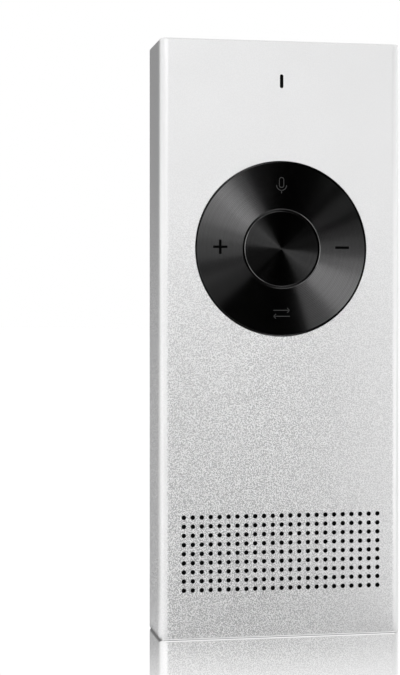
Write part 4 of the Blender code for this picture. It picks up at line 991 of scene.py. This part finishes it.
# %% Cap screws
HEAD_UNDERSIDE = 1.0 * MM
HEAD_RADIUS, SHANK_RADIUS, POINT_RADIUS, POINT = 1.4 * MM, 0.7 * MM, 0.4 * MM, 0.3 * MM
RECESS_RADIUS, RECESS_DEPTH, RECESS_TIP = 0.7 * MM, 0.4 * MM, 0.55 * MM
for side, node in ((-1, "cap_screw_left"), (1, "cap_screw_right")):
    low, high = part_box(node)
    profile = [
        (0, low.z), (1.1 * MM, low.z), (1.3 * MM, low.z + 0.08 * MM),
        (HEAD_RADIUS, low.z + 0.3 * MM), (HEAD_RADIUS, HEAD_UNDERSIDE),
        (SHANK_RADIUS, HEAD_UNDERSIDE), (SHANK_RADIUS, high.z - POINT),
        (POINT_RADIUS, high.z), (0, high.z),
    ]
    screw = turned(profile, (side * SCREW_X, 0, 0), axis=(0, 0, 1), steps=48)
    recess = turned(
        [(0, low.z - SPARE), (RECESS_RADIUS, low.z - SPARE),
         (RECESS_RADIUS, low.z + RECESS_DEPTH), (0, low.z + RECESS_TIP)],
        (side * SCREW_X, 0, 0), axis=(0, 0, 1), steps=6,
    )
    finished(node + "_fine", cut(screw, recess), "housing", [SCREW_STEEL],
             replaces=[node])

# %% Charging socket
shell_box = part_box("socket_shell")
SHELL_WALL, SHELL_BEVEL, THROAT_BEVEL = 0.3 * MM, 0.06 * MM, 0.08 * MM
shell = stadium(SOCKET_HALF_WIDTH, SOCKET_HALF_DEPTH, shell_box[0].z, shell_box[1].z)
soften(shell, SHELL_BEVEL, segments=1)
throat = stadium(
    SOCKET_HALF_WIDTH - SHELL_WALL, SOCKET_HALF_DEPTH - SHELL_WALL,
    shell_box[0].z + THROAT_BEVEL, shell_box[1].z + SPARE,
)
flared(throat, Z_AXIS, (-1,), THROAT_BEVEL)
finished(
    "socket_mouth", cut(shell, throat), "housing", [SOCKET_STEEL],
    replaces=["socket_shell"],
)

tongue_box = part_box("socket_tongue")
TONGUE_HALF_WIDTH, TONGUE_HALF_DEPTH, TONGUE_EDGE = 3.35 * MM, 0.35 * MM, 0.1 * MM
BASE_INSET, BASE_HEIGHT = 0.6 * MM, 1.6 * MM
tongue = rounded_block(
    (-TONGUE_HALF_WIDTH, -TONGUE_HALF_DEPTH, tongue_box[0].z),
    (TONGUE_HALF_WIDTH, TONGUE_HALF_DEPTH, tongue_box[1].z - BASE_HEIGHT / 2), Z_AXIS, 0,
)
soften(tongue, TONGUE_EDGE)
base = stadium(
    SOCKET_HALF_WIDTH - BASE_INSET, SOCKET_HALF_DEPTH - BASE_INSET,
    tongue_box[1].z - BASE_HEIGHT, tongue_box[1].z,
)
finished(
    "socket_contact_tongue", joined(tongue, base), "housing", [TONGUE_PLASTIC],
    replaces=["socket_tongue"],
)

CONTACTS, CONTACT_PITCH, CONTACT_HALF = 12, 0.5 * MM, 0.12 * MM
CONTACT_FROM, CONTACT_TO = tongue_box[0].z + 0.3 * MM, tongue_box[0].z + 4.2 * MM
CONTACT_PROUD = 0.02 * MM
contact_depth = TONGUE_HALF_DEPTH + CONTACT_PROUD
contacts = []
for place in range(CONTACTS):
    x = (place - (CONTACTS - 1) / 2) * CONTACT_PITCH
    contact = rounded_block(
        (x - CONTACT_HALF, -contact_depth, CONTACT_FROM),
        (x + CONTACT_HALF, contact_depth, CONTACT_TO), Z_AXIS, 0,
    )
    contacts.append(soften(contact, CONTACT_PROUD, segments=1))
finished("socket_contacts", joined(*contacts), "housing", [CONTACT_GOLD])

# %% [markdown]
# ## Finishes for the pieces inside
#
# The CAD solids inside have the right shape, so they stay and only change their
# finish. Through the grille and the slot one sees the acoustic cloth, so its weave
# matters most; the others show only when the object is taken apart.


# %% Cloth, board, foil and foam
THREAD, TRACKS_A_METRE, CELL = 0.14 * MM, 700.0, 0.35 * MM


def woven_cloth():
    """Acoustic mesh: threads that cross, as two sine waves."""
    shading, close = principled("acoustic_cloth")
    across, up = (shading.axis(shading.place(), name) for name in "XZ")
    weave = (across * (math.tau / THREAD)).sine() * (up * (math.tau / THREAD)).sine()
    height = weave * 0.5 + 0.5
    tint = shading.mixed(height, grey(0.004), grey(0.022))
    return close(Base_Color=tint, Roughness=0.9, Normal=shading.bump(height, 0.03 * MM))


def circuit_laminate():
    """Green solder mask over copper: fine tracks show as a slight change of shade."""
    shading, close = principled("circuit_laminate")
    bricks = shading.add("TexBrick", {}, {
        "Vector": shading.place(), "Scale": TRACKS_A_METRE, "Mortar Size": 0.08,
        "Color1": grey(0), "Color2": grey(0), "Mortar": WHITE,
    }, output="Color")
    tracks = shading.ramp(bricks, 0.2, 0.8)
    clouds = shading.noise(3 * MM)
    mask = shading.mixed(clouds, (0.010, 0.085, 0.035, 1), (0.016, 0.120, 0.050, 1))
    return close(
        Base_Color=shading.mixed(tracks, mask, (0.035, 0.19, 0.085, 1)),
        Roughness=0.35 + clouds * 0.1,
        Normal=shading.bump(tracks, 0.02 * MM),
    )


def wrinkled_foil(name, colour):
    """Foil or film pressed round a cell: long soft wrinkles in a thin shiny skin."""
    shading, close = principled(name, Metallic=1.0)
    wrinkles = shading.noise(2.2 * MM, detail=4, stretch=(1, 1, 3))
    scuffs = shading.noise(0.3 * MM)
    # Painted shade: the colour is darker where the wrinkles are low, in their hollows.
    dark = [c * 0.85 for c in colour] + [1]
    return close(
        Base_Color=shading.mixed(wrinkles, dark, [*colour, 1]),
        Roughness=0.30 + scuffs * 0.12,
        Normal=shading.bump(wrinkles, 0.08 * MM),
    )


def open_foam():
    """Foam: small open cells."""
    shading, close = principled("open_foam")
    cells = shading.add("TexVoronoi", {}, {"Vector": shading.place(), "Scale": 1 / CELL})
    # Painted shade: the colour is darker in the middle of each cell, where the bump is lowest.
    tint = shading.mixed(cells, grey(0.012), grey(0.055))
    return close(Base_Color=tint, Roughness=0.95, Normal=shading.bump(cells, 0.1 * MM))


# %% Hand the finishes to the nodes
STEEL = bare_metal("stamped_steel", (0.60, 0.60, 0.61), 0.30)
CLOTH = woven_cloth()
FOAM = open_foam()
BOARD = circuit_laminate()
CHIP = moulded("chip_resin", (0.018, 0.018, 0.019), 0.55, grain_size=0.05)
INNER_FINISHES = {
    CLOTH: ("grille_mesh", "mic_mesh"),
    BOARD: ("main_board", "socket_board"),
    FOAM: ("battery_pad", "speaker_gasket"),
    CHIP: ("processor_chip", "memory_chip", "radio_chip", "power_chip"),
    wrinkled_foil("cell_skin", (0.60, 0.60, 0.62)): ("battery_cell",),
    bare_metal("copper_strip", (0.78, 0.42, 0.24), 0.34): ("antenna_flex",),
    moulded("chassis_resin", (0.055, 0.055, 0.06), 0.55): ("chassis", "antenna_carrier"),
    moulded("soft_rubber", (0.02, 0.02, 0.02), 0.85, 0.1, 0.01): ("mic_boot",),
    moulded("speaker_resin", (0.035, 0.035, 0.037), 0.5): ("speaker_frame",),
    moulded("cone_film_pressed", (0.09, 0.09, 0.10), 0.4, 0.4, 0.02): ("speaker_cone",),
    bare_metal("magnet_plating", (0.30, 0.30, 0.31), 0.38): ("speaker_magnet", "mic_module"),
    moulded("plug_resin", (0.72, 0.71, 0.67), 0.5): ("battery_plug",),
    moulded("red_insulation", (0.42, 0.03, 0.03), 0.42): ("lead_positive",),
    moulded("black_insulation", (0.02, 0.02, 0.02), 0.42): ("lead_negative",),
    moulded("amber_film_layer", (0.52, 0.25, 0.05), 0.36): ("flex_cable",),
    STEEL: (
        "key_frame", "ring_gimbal", "shield_can", "dome_centre", "dome_left", "dome_right",
        "dome_upper", "dome_lower", "board_screw_lower_left", "board_screw_lower_right",
        "board_screw_upper_left", "board_screw_upper_right",
    ),
}
dressed = 0
for finish, names in INNER_FINISHES.items():
    for name in names:
        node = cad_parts[name]
        node.data.materials.clear()
        node.data.materials.append(finish)
        dressed += 1
print("inner pieces with a new finish:", dressed)

# %% [markdown]
# ## The studio
#
# A white background is a matter of colour, not of more light: the world is white to the
# camera and to mirror-like surfaces, and dim to everything else. What a blasted sleeve
# and a turned black ring look like is all in what they mirror, so soft boxes and low
# cards stand where the photo's light and dark patches call for them.

# %% World
RIGHT_GLOW, LEFT_GLOW, AMBIENT_GLOW = 0.9, 0.12, 0.25
MIRROR_EXTRA = 0.12


def studio_world():
    """White to the camera and to mirrors, and a dim glow from behind to rough metal."""
    world = bpy.data.worlds.new("studio")
    bpy.context.scene.world = world
    shading = Shading(world)
    across, forward = (
        shading.axis(shading.add("TexCoord", output="Generated"), name) for name in "XY"
    )
    mirrored, glossy = shading.ray("Singular"), shading.ray("Glossy")
    white = (shading.ray("Camera") + mirrored + shading.ray("Transmission")).at_most(1.0)
    right_glow = shading.ramp(forward, -0.30, 0.10) * RIGHT_GLOW
    left_glow = shading.ramp(forward, -0.25, 0.55) * LEFT_GLOW
    reflected = left_glow + shading.ramp(across, -0.15, 0.05) * (right_glow - left_glow)
    dim = glossy * reflected + (1 - glossy) * AMBIENT_GLOW
    strength = white + mirrored * MIRROR_EXTRA + (1 - white) * dim
    light = shading.add("Background", {}, {"Color": WHITE, "Strength": strength})
    shading.close(light, kind="OutputWorld")


studio_world()

# %% Floor
MIRROR_STARTS, MIRROR_FULL, MIRROR_MOST = 0.762, 0.810, 0.85
MIRROR_TINT, FLOOR_SHADE, BARE_SHADE = 0.92, 0.14, 0.8
FLOOR_GLOW = 0.88
FLOOR_REACH = 6.0


def white_floor():
    """Glossy white board: a mirror at a flat angle, and black to rough metal."""
    material = bpy.data.materials.new("white_floor")
    shading = Shading(material)
    camera_ray = shading.ray("Camera")
    seen = (camera_ray + shading.ray("Singular")).at_most(1.0)
    bare = shading.mixed(shading.ray("Glossy"), grey(BARE_SHADE), grey(0))
    facing = shading.add("LayerWeight", {}, {"Blend": 0.5}, output="Facing")
    share = shading.add(
        "MapRange", {}, {"Value": facing, "From Min": MIRROR_STARTS, "From Max": MIRROR_FULL}
    ).at_most(MIRROR_MOST)
    lit = shading.add("BsdfDiffuse", {}, {"Color": shading.mixed(seen, bare, grey(FLOOR_SHADE))})
    glow = shading.add("Emission", {}, {"Color": WHITE, "Strength": seen * FLOOR_GLOW})
    white = shading.add("AddShader", {}, {0: lit, 1: glow})
    mirror = shading.add("BsdfGlossy", {}, {"Color": grey(MIRROR_TINT), "Roughness": 0.0})
    shading.close(shading.add("MixShader", {}, {0: camera_ray * share, 1: white, 2: mirror}))
    return material


plane = bmesh.new()
bmesh.ops.create_grid(plane, x_segments=1, y_segments=1, size=FLOOR_REACH)
floor = loose_object(plane, "floor")
floor.data.materials.append(white_floor())
floor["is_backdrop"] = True

# %% [markdown]
# ### Low cards
#
# The lower half of what the blasted face mirrors is the floor. Cards that lie on it,
# each with a brightness of its own, give the face its slow change from pale to darker.
# Only rough metal sees them: the camera, the floor's mirror and the shadows don't.

# %% Low cards
CARD_LIFT = 0.02 * MM


def low_card(place, radiance, *corners):
    """A lit card on the floor, its corners in millimetres, that only rough metal sees."""
    name = "card_" + place
    material = bpy.data.materials.new(name)
    shading = Shading(material)
    lit = shading.add("Emission", {}, {"Color": WHITE, "Strength": radiance})
    clear = shading.add("BsdfTransparent")
    shading.close(shading.add("MixShader", {}, {0: shading.ray("Singular"), 1: lit, 2: clear}))
    bm = bmesh.new()
    bm.faces.new([bm.verts.new((x * MM, y * MM, CARD_LIFT)) for x, y in corners])
    card = loose_object(bm, name)
    card.data.materials.append(material)
    card.visible_camera = card.visible_diffuse = card.visible_shadow = False
    card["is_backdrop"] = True


CARDS = [
    ("chamfer", 1.45, (-23.5, -6.9), (23.5, -6.9), (23.5, -6.62), (-23.5, -6.62)),
    ("contact", 0.50, (-24, -8.3), (24, -8.3), (24, -6.9), (-24, -6.9)),
    ("left", 0.90, (-120, -60), (-24, -60), (-24, 8), (-120, 8)),
    ("left_far", 0.48, (-900, -60), (-120, -60), (-120, 8), (-900, 8)),
    ("back_left", 0.50, (-1500, 8), (-23, 8), (-23, 1500), (-1500, 1500)),
    ("back_right", 0.87, (23, -8), (1500, -8), (1500, 1500), (23, 1500)),
    ("right", 0.95, (24, -60), (120, -60), (120, -8.3), (24, -8.3)),
    ("right_far", 0.15, (120, -60), (1500, -60), (1500, -8.3), (120, -8.3)),
    ("front_near_left", 0.39, (-24, -60), (0, -60), (0, -8.3), (-24, -8.3)),
    ("front_near_right", 0.42, (0, -60), (24, -60), (24, -8.3), (0, -8.3)),
    ("front_side", 0.63, (-110, -60), (-900, -500), (-900, -60)),
    ("front_corner", 0.81, (-110, -60), (-322, -300), (-900, -500)),
    ("front_left", 0.50, (-110, -60), (-70, -60), (-20, -300), (-322, -300)),
    ("front_middle", 0.00, (0, -60), (40, -60), (158, -300), (118, -300)),
    ("front_right", 1.84, (40, -60), (1500, -60), (1500, -300), (158, -300)),
    ("far_left", 0.00,
     (-322, -300), (-80, -300), (-402, -1500), (-1610, -1500), (-900, -500)),
    ("far_middle", 0.20, (-80, -300), (70, -300), (346, -1500), (-402, -1500)),
    ("far_right", 0.85, (70, -300), (252, -300), (1259, -1500), (346, -1500)),
    ("far_side", 1.12, (252, -300), (1500, -300), (1500, -1500), (1259, -1500)),
]
for card in CARDS:
    low_card(*card)
print("low cards:", len(CARDS))

# %% [markdown]
# ### Lamps
#
# Soft boxes round the object light the upper half. Each row says where its lamp
# stands, how large it is and how bright; the narrow key lamp draws the brightest pair
# of sectors on the ring, and the near ones reach the top edge.

# %% Lamps
KEYS, TOP = Vector((0, 0, KEY_HEIGHT)), Vector((0, 0, HEIGHT))


def soft_lamp(name, aim, azimuth, elevation, distance, width, height, radiance):
    """A soft box that faces aim. Azimuth 0 is in front, and 90 is on the right."""
    turn, rise = math.radians(azimuth), math.radians(elevation)
    flat = math.cos(rise)
    way = Vector((math.sin(turn) * flat, -math.cos(turn) * flat, math.sin(rise)))
    light = bpy.data.lights.new(name, "AREA")
    light.shape = "RECTANGLE"
    light.size = width
    light.size_y = height
    light.energy = radiance * math.pi * width * height
    lamp = bpy.data.objects.new(name, light)
    lamp.location = aim + way * distance
    lamp.rotation_euler = way.to_track_quat("Z", "Y").to_euler()
    lamp.visible_camera = False
    bpy.context.scene.collection.objects.link(lamp)


LAMPS = [
    ("front_low", KEYS, 10, 5.5, 0.8, 0.582, 0.268, 1.57),
    ("front_high", KEYS, 10, 20, 0.8, 0.582, 0.14, 1.51),
    ("key", KEYS, -15, 20, 0.8, 0.14, 0.429, 3.33),
    ("left_low", KEYS, -35, 5.5, 0.8, 0.429, 0.268, 0.92),
    ("left_middle", KEYS, -35, 25, 0.8, 0.429, 0.282, 2.45),
    ("left_high", KEYS, -25, 45, 0.8, 0.746, 0.282, 0.08),
    ("side_front_low", KEYS, -60, 5, 0.8, 0.282, 0.282, 1.39),
    ("side_front_high", KEYS, -60, 25, 0.8, 0.282, 0.282, 0.63),
    ("side_low", KEYS, -90, 5, 0.8, 0.582, 0.282, 1.29),
    ("side_high", KEYS, -90, 25, 0.8, 0.582, 0.282, 1.24),
    ("rear_left", KEYS, -130, 10, 0.8, 0.582, 0.42, 0.23),
    ("side_top", KEYS, -80, 45, 0.8, 0.924, 0.282, 0.58),
    ("right_front", KEYS, 40, 5, 0.8, 0.282, 0.282, 0.60),
    ("right_low", KEYS, 70, 5, 0.8, 0.582, 0.282, 0.63),
    ("right_rear", KEYS, 110, 5, 0.8, 0.582, 0.282, 0.16),
    ("right_top", KEYS, 80, 45, 0.8, 0.924, 0.282, 0.32),
    ("near_key", TOP, -40, 40, 0.32, 0.16, 0.16, 0.53),
    ("near_left", TOP, -35, 60, 0.32, 0.26, 0.16, 0.51),
    ("near_right", TOP, 35, 60, 0.32, 0.26, 0.16, 0.62),
    ("near_side", TOP, 60, 40, 0.32, 0.16, 0.16, 0.59),
    ("near_edge", TOP, 65, 8, 0.32, 0.08, 0.08, 1.22),
    ("top_front", KEYS, 0, 70, 0.8, 0.282, 0.282, 0.22),
    ("overhead", KEYS, 180, 75, 0.9, 0.90, 0.90, 0.35),
    ("rear", KEYS, 150, 30, 0.9, 0.80, 0.60, 1.00),
]
for lamp in LAMPS:
    soft_lamp(*lamp)
print("lamps:", len(LAMPS))

# %% [markdown]
# ## The camera
#
# The camera stands a little to the left of the object and looks level, so upright
# edges stay upright; a small downward shift of the picture replaces a tilt. Its place
# and its lens come from fitting the grille holes, the ring and the outlines.

# %% Camera
SENSOR = 36.0
IMAGE_HEIGHT = 675
FOCAL_PIXELS = 1641.3
HORIZON_ROW = 313.3
CAMERA_PLACE = (-0.0692, -0.3021, 0.0597)
CAMERA_TURN = -10.34
NEAR_LIMIT = 0.01

camera_data = bpy.data.cameras.new("camera")
camera_data.sensor_width = SENSOR
camera_data.lens = FOCAL_PIXELS * SENSOR / IMAGE_HEIGHT
camera_data.shift_y = (HORIZON_ROW - IMAGE_HEIGHT / 2) / IMAGE_HEIGHT
camera_data.clip_start = NEAR_LIMIT
camera = bpy.data.objects.new("camera", camera_data)
camera.location = CAMERA_PLACE
camera.rotation_euler = (math.radians(90), 0, math.radians(CAMERA_TURN))
bpy.context.scene.collection.objects.link(camera)
bpy.context.scene.camera = camera
bpy.context.scene.view_settings.view_transform = "Standard"
print(f"lens {camera_data.lens:.2f} mm, shift {camera_data.shift_y:.4f}")

# %% Print the visual box and finish
low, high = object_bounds()
print("visual box from", tuple(low), "to", tuple(high))
